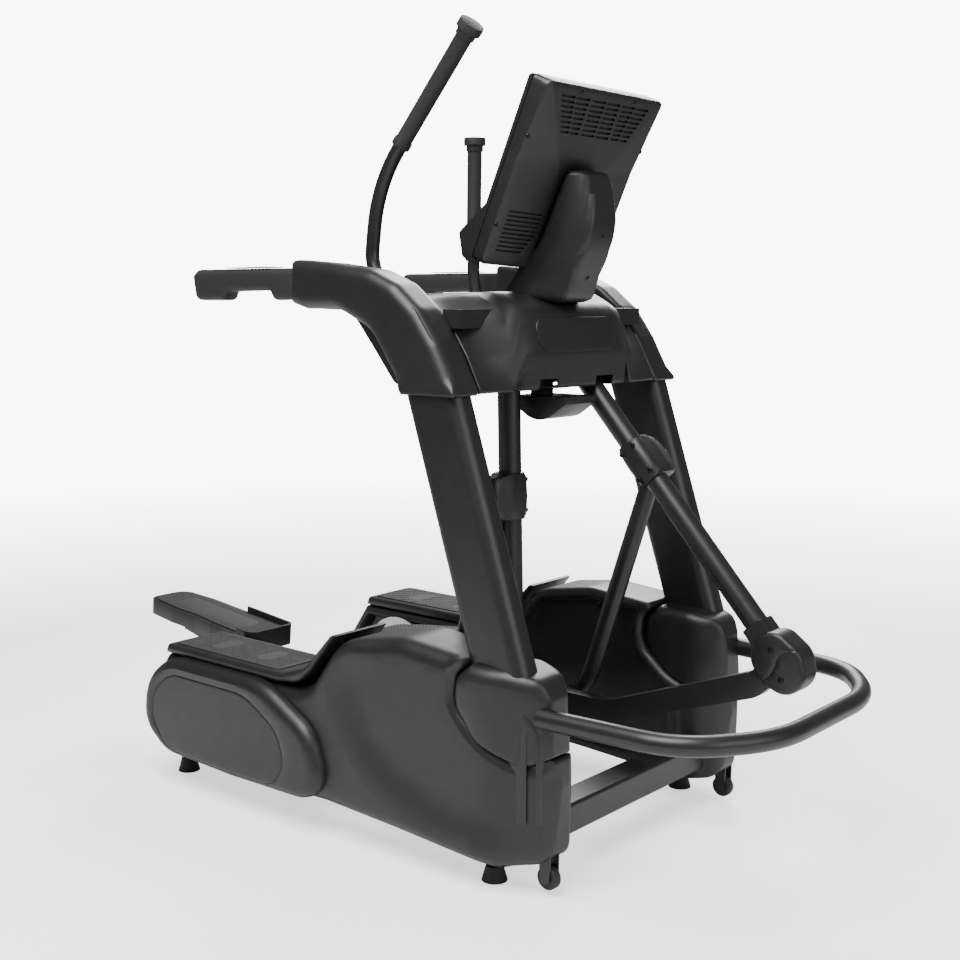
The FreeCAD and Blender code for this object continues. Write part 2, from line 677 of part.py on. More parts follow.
def build_bridge():
    """Covers of the bridge, with slots for the rockers and the handles."""
    outline = bridge_outline()
    inner = inset(outline, mm("wall"))
    split = back(192)
    half = mm("bridge_half")
    far = 2000
    shells = (("bridge_front_shell", split, split + far), ("bridge_rear_shell", split - far, split))
    tube_slot = mm("rocker_radius") + 7
    handle_slot = mm("handle_radius") + 7
    tools = {}
    for label, low, high in shells:
        tools[label] = [block(label + "_split", (-far, low, 0), (far, high, far))]
    for name, side in SIDES:
        middle = mm("rocker_middle")
        tools["bridge_front_shell"].append(side_block(
            name + "_tube_slot", side, (middle - tube_slot, back(40), 900), (middle + tube_slot, back(192), 1035)))
        tools["bridge_rear_shell"].append(side_block(
            name + "_tube_slot_rear", side, (middle - tube_slot, back(192), 900), (middle + tube_slot, back(285), 1035)))
        middle = mm("handle_middle")
        tools["bridge_rear_shell"].append(side_block(
            name + "_handle_slot", side, (middle - handle_slot, back(300), 1000), (middle + handle_slot, back(632), 1240)))
    tools["bridge_rear_shell"].append(block("hub_opening", (-70, back(180), 900), (70, back(260), 1000)))
    tools["bridge_front_shell"].append(block("hub_opening_front", (-70, back(80), 900), (70, back(200), 1000)))
    tools["bridge_rear_shell"].append(block("mast_opening", (-32, back(150), 1150), (32, back(215), 1240)))
    tools["bridge_front_shell"].append(block("mast_opening_front", (-32, back(150), 1140), (32, back(215), 1240)))
    for label, members in tools.items():
        body = new_body(label + "_body")
        add_pad(body, "side", rounded(outline), str(-half), str(2 * half))
        add_pocket(body, "side", rounded(inner), str(-half), str(2 * half))
        keep(label, cut(label + "_cut", body, fuse(label + "_openings", members)))

    panel = new_body("access_panel_body")
    add_pad(panel, "front", rounded([(-135, 1060, 40), (135, 1060, 40), (150, 1132, 36), (-150, 1132, 36)]),
            str(back(92)), "4")
    keep("access_panel", panel)
    lens = rounded(shift([(96, 962, 4), (90, 950, 8), (165, 898, 110), (246, 950, 8), (240, 962, 4)], mm("datum_line")))
    hub = new_body("centre_hub_cover_body")
    add_pad(hub, "side", lens, "-56", "112")
    keep("centre_hub_cover", hub)


def build_shoulders():
    """Shoulder covers, handrails and their sensor plates."""
    outline = shoulder_outline()
    tube_low = mm("upright_top")
    tube_high = tube_low + 33
    covers = []
    rails = []
    plates = []
    rear = mm("handrail_rear")
    rail = shift([(610, 1168, 10), (610, 1240, 10), (rear - 18, 1240, 10), (rear, 1226, 12), (rear - 12, 1168, 14),
                  (835, 1168, 10), (822, 1188, 8), (680, 1190, 8), (664, 1168, 10)], mm("datum_line"))
    for name, side in SIDES:
        body = slab(name + "_shoulder_body", rounded(outline), side, "Sizes.shoulder_inner", "Sizes.shoulder_width")
        cavity = "Sizes.shoulder_width - 2 * Sizes.wall"
        add_pocket(body, "side", rounded(inset(outline, mm("wall"))),
                   span(side, "Sizes.shoulder_inner + Sizes.wall", cavity), cavity)
        bridge_port = box_outline(back(150), 1040, back(235), 1155, 8)
        add_pocket(body, "side", bridge_port, span(side, "Sizes.shoulder_inner - 1", "Sizes.wall + 2"),
                   "Sizes.wall + 2")
        passage = leaning_tube(name + "_shoulder_passage", side, 0, 0.5, 950, 1060)
        middle = mm("upright_middle") - 5
        half_width = mm("handrail_width") / 2 - 6
        rail_port = side_block(name + "_rail_port", side, (middle - half_width - 0.5, back(560), tube_low - 0.5),
                               (middle + half_width + 0.5, back(640), tube_high + 0.5))
        covers.append(cut(name + "_shoulder", body, fuse(name + "_shoulder_openings", [passage, rail_port])))
        core = side_block(name + "_rail_core", side, (middle - half_width, back(278), tube_low),
                          (middle + half_width, back(660), tube_high))
        arm = slab(name + "_rail_arm", rounded(rail), side, str(middle - mm("handrail_width") / 2),
                   "Sizes.handrail_width")
        rails.append(fuse(name + "_handrail", [core, arm]))
        plates.append(side_block(name + "_sensor", side, (middle - 20, back(676), 1240), (middle + 20, back(828), 1242)))
    keep("shoulder_covers", group("shoulder_covers_group", covers))
    keep("handrails", group("handrails_group", rails))
    keep("pulse_sensors", group("pulse_sensors_group", plates))


# ---------------------------------------------------------------- console

def build_console():
    """Mast, neck cover, console shells, screen and keys."""
    seat = Placement(Vector(0, back(mm("console_back")), mm("console_base")),
                     Rotation(Vector(1, 0, 0), mm("console_tilt")))
    depth = mm("console_depth")
    half = mm("console_half")
    width = "2 * Sizes.console_half"

    mast = new_body("mast_body")
    mast_line = shift([(165, 1150), (203, 1150), (152, 1290), (128, 1380), (98, 1380), (118, 1290)], mm("datum_line"))
    add_pad(mast, "side", rounded(mast_line), "-24", "48")
    flange = block("mast_flange", (-50, -14, 110), (50, 0, 200))
    flange.Placement = seat.multiply(Placement(Vector(-50, -14, 110), Rotation()))
    keep("console_mast", fuse("console_mast_fused", [mast, flange]))

    neck_line = shift([(120, 1168, 10), (70, 1285, 100), (36, 1438, 8), (104, 1440, 4), (192, 1238, 4),
                       (214, 1232, 20), (250, 1192, 10)], mm("datum_line"))
    neck = new_body("neck_cover_body")
    add_pad(neck, "side", rounded(neck_line), "-64", "128")
    room = shift([(110, 1130), (90, 1285, 40), (62, 1425), (190, 1425), (230, 1300), (222, 1130)], mm("datum_line"))
    add_pocket(neck, "side", rounded(room), "-54", "108")
    under_neck = new_body("neck_footprint")
    add_pad(under_neck, "side", rounded(inset(bridge_outline(), -mm("free_gap"))), "-90", "180")
    keep("neck_cover", cut("neck_cover_cut", neck, under_neck))

    back_shell = new_body("console_back_body")
    back_line = [(0, 0, 6), (depth, -7, 2), (depth, 396, 2), (7, 400, 6)]
    add_pad(back_shell, "side", rounded(back_line), "-Sizes.console_half", width)
    room_line = [(mm("wall"), 5, 4), (depth + 5, 5), (depth + 5, 390), (10, 390, 4)]
    add_pocket(back_shell, "side", rounded(room_line), "-Sizes.console_half + Sizes.wall", f"{width} - 2 * Sizes.wall")
    back_shell.Placement = seat
    keep("console_back", back_shell)

    bezel = new_body("console_bezel_body")
    chin = ((43, 120), (87, 38))
    bezel_line = [(depth, -7, 2), (59, -3, 8), (chin[1][0], chin[1][1], 10), (chin[0][0], chin[0][1], 6),
                  (43, 390, 6), (depth, 396, 1)]
    add_pad(bezel, "side", rounded(bezel_line), "-Sizes.console_half", width)
    screen = (136, 378)
    glass_deep = 4
    add_pocket(bezel, "side", box_outline(43 - glass_deep, screen[0], 60, screen[1]),
               "-Sizes.console_half + 22", f"{width} - 44")
    bezel.Placement = seat
    glass = block("glass", (-half + 22.3, 43 - glass_deep, screen[0] + 0.3), (half - 22.3, 42.6, screen[1] - 0.3))
    glass.Placement = seat.multiply(glass.Placement)
    keep("screen_glass", glass)

    along = Vector(0, chin[1][0] - chin[0][0], chin[1][1] - chin[0][1]).normalize()
    outward = Vector(0, -along.z, along.y)
    face = Vector(0, (chin[0][0] + chin[1][0]) / 2, (chin[0][1] + chin[1][1]) / 2)
    wells = []
    for name, x in (("start_key", 34), ("stop_key", -34)):
        foot = Vector(x, 0, 0) + face - outward * 8
        turn = Rotation(Vector(0, 0, 1), outward)
        well = doc.addObject("Part::Cylinder", name + "_well")
        well.setExpression("Radius", "Sizes.key_radius + Sizes.free_gap")
        well.Height = 20
        well.Placement = seat.multiply(Placement(foot, turn))
        wells.append(well)
        key = doc.addObject("Part::Cylinder", name + "_cap")
        key.setExpression("Radius", "Sizes.key_radius")
        key.Height = 8.5
        key.Placement = seat.multiply(Placement(foot + outward * 2, turn))
        keep(name, key)
    keep("console_bezel", cut("console_bezel_cut", bezel, group("key_wells", wells)))


# ---------------------------------------------------------------- rockers, links and feet

def rocker_seat(lean):
    """Placement of a rocker that leans by this many degrees."""
    return Placement(Vector(0, back(mm("pivot_back")), mm("pivot_height")), Rotation(Vector(1, 0, 0), -mm(lean)))


def build_rocker(name, side, lean):
    """Lower tube with its hub, fork and pins; handle; grip; clamp and joint covers."""
    seat = rocker_seat(lean)
    u = mm("rocker_offset")
    pin = -mm("rocker_length")
    link = -mm("link_drop")
    middle = mm("rocker_middle")
    half_bar = mm("foot_bar_width") / 2 + 2
    hub_start = middle - 29
    hub_length = mm("handle_middle") + 22 - hub_start

    tube = straight_rod(name + "_lower_tube", "Sizes.rocker_radius", (side * middle, u, -15),
                        (side * middle, u, pin + 62))
    hub = side_rod(name + "_hub", side, "Sizes.hub_radius", hub_start, hub_length, 0, 0)
    fork_line = [(u - 24, pin + 92, 4), (u + 24, pin + 92, 4), (u + 24, pin - 24, 23), (u - 24, pin - 24, 23)]
    fork_start = middle - half_bar - 9
    fork = slab(name + "_fork", rounded(fork_line), side, str(fork_start), str(2 * half_bar + 18))
    add_pocket(fork, "side", box_outline(u - 40, pin - 60, u + 40, pin + 48),
               span(side, str(middle - half_bar), str(2 * half_bar)), str(2 * half_bar))
    foot_pin = side_rod(name + "_foot_pin", side, "Sizes.foot_pin_radius", fork_start + 1,
                        2 * half_bar + 16, u, pin)
    link_pin = side_rod(name + "_link_pin", side, "Sizes.link_pin_radius", middle + 10,
                        mm("link_middle") + 22 - middle - 10, u, link)
    whole = fuse(name + "_rocker_fused", [tube, hub, fork, foot_pin, link_pin])
    bore = side_rod(name + "_hub_bore", side, "Sizes.axle_radius + Sizes.running_gap", hub_start - 1,
                    hub_length + 2, 0, 0)
    rocker = cut(name + "_rocker_cut", whole, bore)
    rocker.Placement = seat
    keep(name + "_rocker_tube", rocker)

    x = side * mm("handle_middle")
    top = (x, -20, 638)
    bend = (x, 246, 352, 300)
    bent = bent_tube(name + "_handle_bent", [(x, 24, 14, 0), (x, 276, 165, 75), bend, top], "Sizes.handle_radius")
    room = side_rod(name + "_hub_room", side, "Sizes.hub_radius", hub_start, hub_length, 0, 0)
    handle = cut(name + "_handle_cut", bent, room)
    handle.Placement = seat
    keep(name + "_handle_tube", handle)

    run = (Vector(*top) - Vector(*bend[:3])).normalize()
    grip_top = Vector(*top) - run * 6
    grip_base = grip_top - run * mm("grip_length")
    sleeve = straight_rod(name + "_sleeve", "Sizes.grip_radius", grip_base, grip_top)
    ring = straight_rod(name + "_grip_ring", "Sizes.grip_radius + 2.5", grip_base - run * 14, grip_base)
    cap = straight_rod(name + "_knob", "Sizes.knob_radius", grip_top, grip_top + run * 18)
    neck = straight_rod(name + "_knob_neck", "Sizes.grip_radius + 3", grip_top - run * 14, grip_top)
    core = straight_rod(name + "_grip_core", "Sizes.handle_radius", grip_base - run * 20, Vector(*top))
    grip = cut(name + "_grip_cut", fuse(name + "_grip_fused", [sleeve, ring, cap, neck]), core)
    grip.Placement = seat
    keep(name + "_grip", grip)

    shell_line = [(u - 34, link + 50, 12), (u + 34, link + 50, 12), (u + 34, link - 50, 12), (u - 34, link - 50, 12)]
    sleeve_body = slab(name + "_clamp_body", rounded(shell_line), side, str(middle - 33), "66")
    wing_line = [(u - 34, link + 40, 12), (u + 30, link + 40, 12), (u + 30, link + 30, 4), (u - 28, link + 30, 4),
                 (u - 28, link - 34, 3), (u - 34, link - 40, 3)]
    wing = slab(name + "_clamp_wing", rounded(wing_line), side, str(middle + 32), str(mm("link_middle") + 28 - middle - 32))
    cap_line = [(u - 34, link + 40, 12), (u + 30, link + 40, 12), (u + 30, link - 34, 12), (u - 34, link - 40, 3)]
    wing_cap = slab(name + "_clamp_cap", rounded(cap_line), side, str(mm("link_middle") + 24), "4")
    tube_room = straight_rod(name + "_clamp_bore", "Sizes.rocker_radius", (side * middle, u, link - 60),
                             (side * middle, u, link + 60))
    pin_room = side_rod(name + "_clamp_pin_room", side, "Sizes.link_pin_radius", middle, mm("link_middle") + 22 - middle,
                        u, link)
    clamp = cut(name + "_clamp_cut", fuse(name + "_clamp_fused", [sleeve_body, wing, wing_cap]),
                fuse(name + "_clamp_room", [tube_room, pin_room]))
    clamp.Placement = seat
    keep(name + "_clamp_cover", clamp)

    egg = [(u - 62, pin + 50, 60), (u + 2, pin + 78, 60), (u + 60, pin + 50, 60), (u + 60, pin - 34, 60),
           (u, pin - 66, 60), (u - 60, pin - 34, 60)]
    cover = slab(name + "_joint_body", rounded(egg), side, str(middle - 38), "76")
    cheek_room = 2 * half_bar + 19
    add_pocket(cover, "side", rounded(inset(egg, mm("wall"))),
               span(side, str(middle - cheek_room / 2), str(cheek_room)), str(cheek_room))
    mouth = [(u - 26, pin - 80), (u + 90, pin - 80), (u + 90, pin + 56), (u + 38, pin + 56), (u - 26, pin - 20)]
    mouth_width = mm("foot_bar_width") + 4
    add_pocket(cover, "side", rounded(mouth), span(side, str(middle - mouth_width / 2), str(mouth_width)),
               str(mouth_width))
    port_half = half_bar + 10
    tube_port = side_block(name + "_joint_port", side, (middle - port_half, u - 26, pin + 30),
                           (middle + port_half, u + 26, pin + 100))
    joint = cut(name + "_joint_cut", cover, tube_port)
    joint.Placement = seat
    keep(name + "_joint_cover", joint)


def hanging_point(lean, drop):
    """World place of a pin that sits this far down a rocker."""
    return rocker_seat(lean).multVec(Vector(0, mm("rocker_offset"), -drop))


def build_link(name, side, lean, turn):
    """Bent link tube with its eye, outboard jog and rear bar."""
    reach = mm("link_reach")
    fall = -mm("link_fall")
    low = -605
    x = side * mm("link_middle")
    bar_x = side * mm("link_bar_middle")
    run = [(x, 2, -6, 0), (x, 203, low, 246), (x, 430, low, 60), (bar_x, 510, low + 1, 60), (bar_x, 560, low + 2, 0)]
    bent = bent_tube(name + "_link_bent", run, "Sizes.link_radius")
    eye = side_rod(name + "_link_eye", side, "Sizes.link_radius + 1", mm("link_middle") - 18, 36, 0, 0)
    bar_line = [(520, low - 20, 8), (reach + 6, fall - 24, 20), (reach + 24, fall, 20), (reach - 2, fall + 24, 20),
                (520, low + 22, 8)]
    bar = slab(name + "_link_bar", rounded(bar_line), side, "Sizes.link_bar_middle - Sizes.link_bar_width / 2",
               "Sizes.link_bar_width")
    solid = fuse(name + "_link_fused", [bent, eye, bar])
    pin_bore = side_rod(name + "_link_bore", side, "Sizes.link_pin_radius + Sizes.running_gap",
                        mm("link_middle") - 30, 60, 0, 0)
    pin_eye = side_rod(name + "_crank_eye", side, "11", mm("link_bar_middle") - 20, 40, reach, fall)
    link = cut(name + "_link_cut", solid, group(name + "_link_bores", [pin_bore, pin_eye]))
    link.Placement = Placement(hanging_point(lean, mm("link_drop")), Rotation(Vector(1, 0, 0), turn))
    keep(name + "_link_tube", link)


def build_foot(name, side, lean, turn):
    """Foot bar, pedal and pedal mat, in the frame of the foot bar's pin."""
    seat = Placement(hanging_point(lean, mm("rocker_length")), Rotation(Vector(1, 0, 0), turn))
    depth = mm("foot_bar_depth")
    top = -167.4
    bend = 430
    front_slope = math.tan(math.radians(19.6))
    slope = math.tan(math.radians(mm("pedal_slope")))
    pedal_front = (764.5, -79.4)
    pedal_rear = pedal_front[0] + mm("pedal_length") * math.cos(math.radians(mm("pedal_slope")))

    def under(y):
        """Height of the pedal's underside."""
        return pedal_front[1] - mm("pedal_depth") / math.cos(math.atan(slope)) - (y - pedal_front[0]) * slope

    nose = 60
    bar_line = [(-26, -16, 24), (-26, 28, 26), (30, 28, 26), (nose, top + (bend - nose) * front_slope + 4, 30),
                (bend, top, 120), (pedal_front[0] + 5, top, 30), (pedal_front[0] + 30, under(pedal_front[0] + 30), 3),
                (pedal_rear - 40, under(pedal_rear - 40), 3), (pedal_rear - 60, top - depth, 10),
                (bend, top - depth, 120), (nose - 10, top - depth + (bend - nose) * front_slope, 60)]
    bar = slab(name + "_foot_bar_body", rounded(bar_line), side,
               "Sizes.rocker_middle - Sizes.foot_bar_width / 2", "Sizes.foot_bar_width")
    start = span(side, "Sizes.rocker_middle - Sizes.foot_bar_width / 2 - 1", "Sizes.foot_bar_width + 2")
    add_pocket(bar, "side", circle(0, 0, mm("foot_pin_radius") + mm("running_gap")), start, "Sizes.foot_bar_width + 2")
    bar.Placement = seat
    keep(name + "_foot_bar", bar)

    tilt = Placement(Vector(0, pedal_front[0], pedal_front[1]), Rotation(Vector(1, 0, 0), -mm("pedal_slope")))
    inner = mm("pedal_inner")
    outer = inner + mm("pedal_width")
    length = mm("pedal_length")
    lip = 16
    plan = [(side * inner, 0, 20), (side * outer, 0, 45), (side * outer, 160, 60), (side * (outer - 6), 230, 80),
            (side * outer, 320, 60), (side * (outer - 8), length, 40), (side * (inner + 14), length, 40),
            (side * inner, 330, 60)]
    if side < 0:
        plan.reverse()
    pedal = new_body(name + "_pedal_body")
    add_pad(pedal, "top", rounded(plan), "-Sizes.pedal_depth", "Sizes.pedal_depth")
    toe = [(side * inner, 0, 20), (side * outer, 0, 45), (side * outer, 60, 10), (side * (outer - 6), 60, 4),
           (side * (outer - 6), 8, 36), (side * (inner + 6), 8, 14), (side * (inner + 6), 180, 4), (side * inner, 190, 4)]
    if side < 0:
        toe.reverse()
    add_pad(pedal, "top", rounded(toe), "-2", str(lip + 2))
    pedal.Placement = seat.multiply(tilt)
    keep(name + "_pedal", pedal)

    mat_plan = [(p[0], p[1], p[2]) for p in inset(plan, 12)]
    mat = new_body(name + "_pedal_mat_body")
    add_pad(mat, "top", rounded(mat_plan), "0", "Sizes.pedal_mat_depth")
    mat.Placement = seat.multiply(tilt)
    keep(name + "_pedal_mat", mat)


# ---------------------------------------------------------------- drive

def disc(name, side, radius, start, length, y, z):
    """Pulley or disc on a shaft along X; radius is an expression."""
    return side_rod(name, side, radius, start, length, y, z)


def belt(name, side, start, first, last):
    """Belt loop round two pulleys; each is (y, z, radius)."""
    loops = []
    for grow in (0.3 + mm("belt_depth"), 0.3):
        a = Vector(first[0], first[1], 0)
        b = Vector(last[0], last[1], 0)
        ra = first[2] + grow
        rb = last[2] + grow
        line = b - a
        base = math.atan2(line.y, line.x)
        swing = math.acos((ra - rb) / line.Length)
        points = []
        for angle in (base + swing, base - swing):
            points.append((a + Vector(math.cos(angle), math.sin(angle), 0) * ra,
                           b + Vector(math.cos(angle), math.sin(angle), 0) * rb))
        far_a = a - line / line.Length * ra
        far_b = b + line / line.Length * rb
        loops.append([Part.LineSegment(points[0][0], points[0][1]), Part.Arc(points[0][1], far_b, points[1][1]),
                      Part.LineSegment(points[1][1], points[1][0]), Part.Arc(points[1][0], far_a, points[0][0])])
    body = new_body(name)
    add_pad(body, "side", loops[0], span(side, str(start), "9"), "9")
    add_pocket(body, "side", loops[1], span(side, str(start), "9"), "9")
    return body


def build_drive():
    """Cranks, jackshaft, flywheel, brake, belts and bearings."""
    crank_y = back(mm("crank_back"))
    crank_z = mm("crank_height")
    jack_y = back(mm("jackshaft_back"))
    jack_z = mm("jackshaft_height")
    fly_y = back(mm("flywheel_back"))
    fly_z = mm("flywheel_height")
    rail_top = mm("rail_bottom") + mm("rail_depth")
    rail_low = mm("rail_middle") - mm("rail_width") / 2
    rail_width = mm("rail_width")
    throw = mm("crank_throw")
    dead_centre = math.atan2(mm("link_fall"), mm("link_reach"))
    bearings = []
    belts = []
    jack_parts = [rod("jackshaft_bar", "Sizes.jackshaft_radius", "816", -400, jack_y, jack_z)]
    for name, side in SIDES:
        pin_y = crank_y - side * throw * math.cos(dead_centre)
        pin_z = crank_z + side * throw * math.sin(dead_centre)
        pulley_start = rail_low + rail_width + 10
        crank = [disc(name + "_crank_disc", side, "Sizes.crank_disc_radius", 249, 9, crank_y, crank_z),
                 side_rod(name + "_crank_pin", side, "10", 236, 14, pin_y, pin_z),
                 side_rod(name + "_crank_shaft", side, "Sizes.crank_shaft_radius", 255, pulley_start + 12 - 255,
                          crank_y, crank_z),
                 disc(name + "_crank_pulley", side, "Sizes.crank_pulley_radius", pulley_start, 12, crank_y, crank_z)]
        keep(name + "_crank", fuse(name + "_crank_fused", crank))
        jack_parts.append(disc(name + "_jack_pulley", side, "Sizes.jackshaft_small_pulley", pulley_start, 12,
                               jack_y, jack_z))
        belts.append(belt(name + "_crank_belt", side, pulley_start + 1.5,
                          (crank_y, crank_z, mm("crank_pulley_radius")), (jack_y, jack_z, mm("jackshaft_small_pulley"))))
        housing = side_block(name + "_bearing_block", side, (rail_low, crank_y - 30, rail_top),
                             (rail_low + rail_width, crank_y + 30, crank_z + 28))
        bore = side_rod(name + "_bearing_bore", side, "Sizes.crank_shaft_radius + Sizes.running_gap", rail_low - 5,
                        rail_width + 10, crank_y, crank_z)
        bearings.append(cut(name + "_crank_bearing", housing, bore))
        ring = side_rod(name + "_jack_ring", side, "Sizes.jackshaft_radius + 6", rail_low, rail_width, jack_y, jack_z)
        hole = side_rod(name + "_jack_hole", side, "Sizes.jackshaft_radius + Sizes.running_gap", rail_low - 5,
                        rail_width + 10, jack_y, jack_z)
        bearings.append(cut(name + "_jack_bearing", ring, hole))

    wide = rail_low + rail_width + 29
    jack_parts.append(disc("jack_large_pulley", 1, "Sizes.jackshaft_large_pulley", wide, 11, jack_y, jack_z))
    keep("jackshaft", fuse("jackshaft_fused", jack_parts))
    flywheel = [side_rod("flywheel_shaft", 1, "Sizes.jackshaft_radius", rail_low - 3, wide + 11 - rail_low + 3,
                         fly_y, fly_z),
                disc("flywheel_disc", 1, "Sizes.flywheel_radius", rail_low + rail_width + 9, 16, fly_y, fly_z),
                disc("flywheel_pulley_disc", 1, "Sizes.flywheel_pulley", wide, 11, fly_y, fly_z)]
    keep("flywheel", fuse("flywheel_fused", flywheel))
    belts.append(belt("flywheel_belt", 1, wide + 1, (jack_y, jack_z, mm("jackshaft_large_pulley")),
                      (fly_y, fly_z, mm("flywheel_pulley"))))
    post = block("flywheel_post", (rail_low, fly_y - 25, rail_top), (rail_low + rail_width, fly_y + 25, fly_z + 25))
    post_bore = side_rod("flywheel_post_bore", 1, "Sizes.jackshaft_radius + Sizes.running_gap", rail_low - 5,
                         rail_width + 10, fly_y, fly_z)
    bearings.append(cut("flywheel_bearing", post, post_bore))
    keep("shaft_bearings", group("shaft_bearings_group", bearings))
    keep("drive_belts", group("drive_belts_group", belts))

    disc_low = rail_low + rail_width + 9
    caliper = block("caliper", (disc_low - 14, fly_y + 98, 240), (disc_low + 17.5, fly_y + 140, 300))
    slot = block("caliper_slot", (disc_low - 1.5, fly_y + 90, 230), (disc_low + 17, fly_y + 130, 310))
    leg = block("caliper_leg", (disc_low - 14, fly_y + 100, rail_top), (disc_low - 9, fly_y + 138, 241))
    keep("eddy_brake", fuse("eddy_brake_fused", [cut("caliper_cut", caliper, slot), leg]))


# ---------------------------------------------------------------- fasteners

def build_screws():
    """Heads of the cover screws, seated on the covers' faces."""
    heads = []
    inner = mm("housing_inner")
    places = [(20, 250), (221, 434), (430, 405), (560, 300), (700, 300)]
    for name, side in SIDES:
        for i, (y, z) in enumerate(places):
            heads.append(side_rod(f"{name}_screw_{i}", side, "5", inner - 2, 2, back(y), z))
    keep("cover_screws", group("cover_screws_group", heads))


build_base()
build_uprights()
build_housings()
build_bridge()
build_shoulders()
build_console()
for side_name, side_sign in SIDES:
    own_lean = side_name + "_lean"
    is_right = side_sign < 0
    build_rocker(side_name, side_sign, own_lean)
    build_link(side_name, side_sign, own_lean, mm("link_turn") if is_right else 0)
    build_foot(side_name, side_sign, own_lean, mm("foot_turn") if is_right else 0)
build_drive()
build_screws()
doc.recompute()

for made in doc.Objects:
    if "Invalid" in made.State or "Error" in made.State:
        raise ValueError(f"{made.Name} failed: {made.State}")

os.makedirs("parts", exist_ok=True)
for node, made in NODES.items():
    shape = made.Shape
    if shape.isNull() or not shape.isValid() or not shape.Solids:
        raise ValueError(f"{node} has no valid solid")
    shape.exportStep(os.path.join("parts", node + ".step"))
    size = shape.BoundBox
    print(f"{node:22s} solids {len(shape.Solids):2d}  x {size.XMin:7.1f} {size.XMax:7.1f}"
          f"  y {size.YMin:7.1f} {size.YMax:7.1f}  z {size.ZMin:7.1f} {size.ZMax:7.1f}")
print(len(NODES), "nodes")
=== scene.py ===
import math

import bmesh
import bpy
import numpy as np
from mathutils import Matrix, Vector
from mathutils.geometry import delaunay_2d_cdt
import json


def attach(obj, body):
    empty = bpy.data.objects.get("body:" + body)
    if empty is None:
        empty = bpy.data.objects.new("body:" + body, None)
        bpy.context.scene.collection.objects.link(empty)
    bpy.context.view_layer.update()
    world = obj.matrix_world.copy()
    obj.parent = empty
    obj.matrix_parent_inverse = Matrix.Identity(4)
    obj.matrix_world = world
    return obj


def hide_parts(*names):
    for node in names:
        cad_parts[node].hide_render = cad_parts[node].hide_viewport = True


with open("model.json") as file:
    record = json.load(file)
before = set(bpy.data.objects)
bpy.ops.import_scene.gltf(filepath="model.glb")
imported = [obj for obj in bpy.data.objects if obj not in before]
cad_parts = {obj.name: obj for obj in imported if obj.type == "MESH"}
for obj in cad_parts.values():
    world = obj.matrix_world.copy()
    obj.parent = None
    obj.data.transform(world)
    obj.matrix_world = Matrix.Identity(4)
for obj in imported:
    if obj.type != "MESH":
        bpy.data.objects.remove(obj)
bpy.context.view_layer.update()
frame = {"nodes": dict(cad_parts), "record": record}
nodes = frame["nodes"]

# ------------------------------------------------------------------ camera

CAMERA_PLACE = (-2.3573, -2.0736, 1.1693)
CAMERA_AZIMUTH = math.radians(-49.5)
CAMERA_PITCH = math.radians(7.61)
CAMERA_LENS = 50.58


def make_camera():
    """Camera at the viewing angle, level, looking slightly down."""
    camera = bpy.data.objects.new("camera", bpy.data.cameras.new("camera"))
    bpy.context.scene.collection.objects.link(camera)
    look = Vector((-math.sin(CAMERA_AZIMUTH) * math.cos(CAMERA_PITCH),
                   math.cos(CAMERA_AZIMUTH) * math.cos(CAMERA_PITCH),
                   -math.sin(CAMERA_PITCH)))
    camera.location = CAMERA_PLACE
    camera.rotation_mode = "QUATERNION"
    camera.rotation_quaternion = look.to_track_quat("-Z", "Y")
    camera.data.sensor_width = 36
    camera.data.lens = CAMERA_LENS
    camera.data.clip_end = 100
    bpy.context.scene.camera = camera


# --------------------------------------------------------------- materials

def new_material(name):
    """Empty node material with its shader, and the object's own coordinates."""
    material = bpy.data.materials.new(name)
    material.use_nodes = True
    tree = material.node_tree
    shader = tree.nodes["Principled BSDF"]
    coords = tree.nodes.new("ShaderNodeTexCoord")
    return material, tree, shader, coords.outputs["Object"]


def noise(tree, coords, scale, detail=3.0, roughness=0.5):
    """Noise texture in the object's coordinates; scale is in features per metre."""
    texture = tree.nodes.new("ShaderNodeTexNoise")
    texture.inputs["Scale"].default_value = scale
    texture.inputs["Detail"].default_value = detail
    texture.inputs["Roughness"].default_value = roughness
    tree.links.new(coords, texture.inputs["Vector"])
    return texture.outputs["Fac"]


def spread(tree, value, low, high, start=0.3, end=0.7):
    """A value from a texture, stretched to run between low and high."""
    ramp = tree.nodes.new("ShaderNodeMapRange")
    ramp.inputs["From Min"].default_value = start
    ramp.inputs["From Max"].default_value = end
    ramp.inputs["To Min"].default_value = low
    ramp.inputs["To Max"].default_value = high
    tree.links.new(value, ramp.inputs["Value"])
    return ramp.outputs["Result"]


def bump(tree, height, distance, strength=1.0, below=None):
    """Bump of that height in metres, on top of another bump if one is given."""
    node = tree.nodes.new("ShaderNodeBump")
    node.inputs["Distance"].default_value = distance
    node.inputs["Strength"].default_value = strength
    tree.links.new(height, node.inputs["Height"])
    if below:
        tree.links.new(below, node.inputs["Normal"])
    return node.outputs["Normal"]


def blend_colours(tree, factor, first, second):
    """Colour between two, by a factor from a texture."""
    mix = tree.nodes.new("ShaderNodeMix")
    mix.data_type = "RGBA"
    mix.inputs["A"].default_value = (*first, 1)
    mix.inputs["B"].default_value = (*second, 1)
    tree.links.new(factor, mix.inputs["Factor"])
    return mix.outputs["Result"]


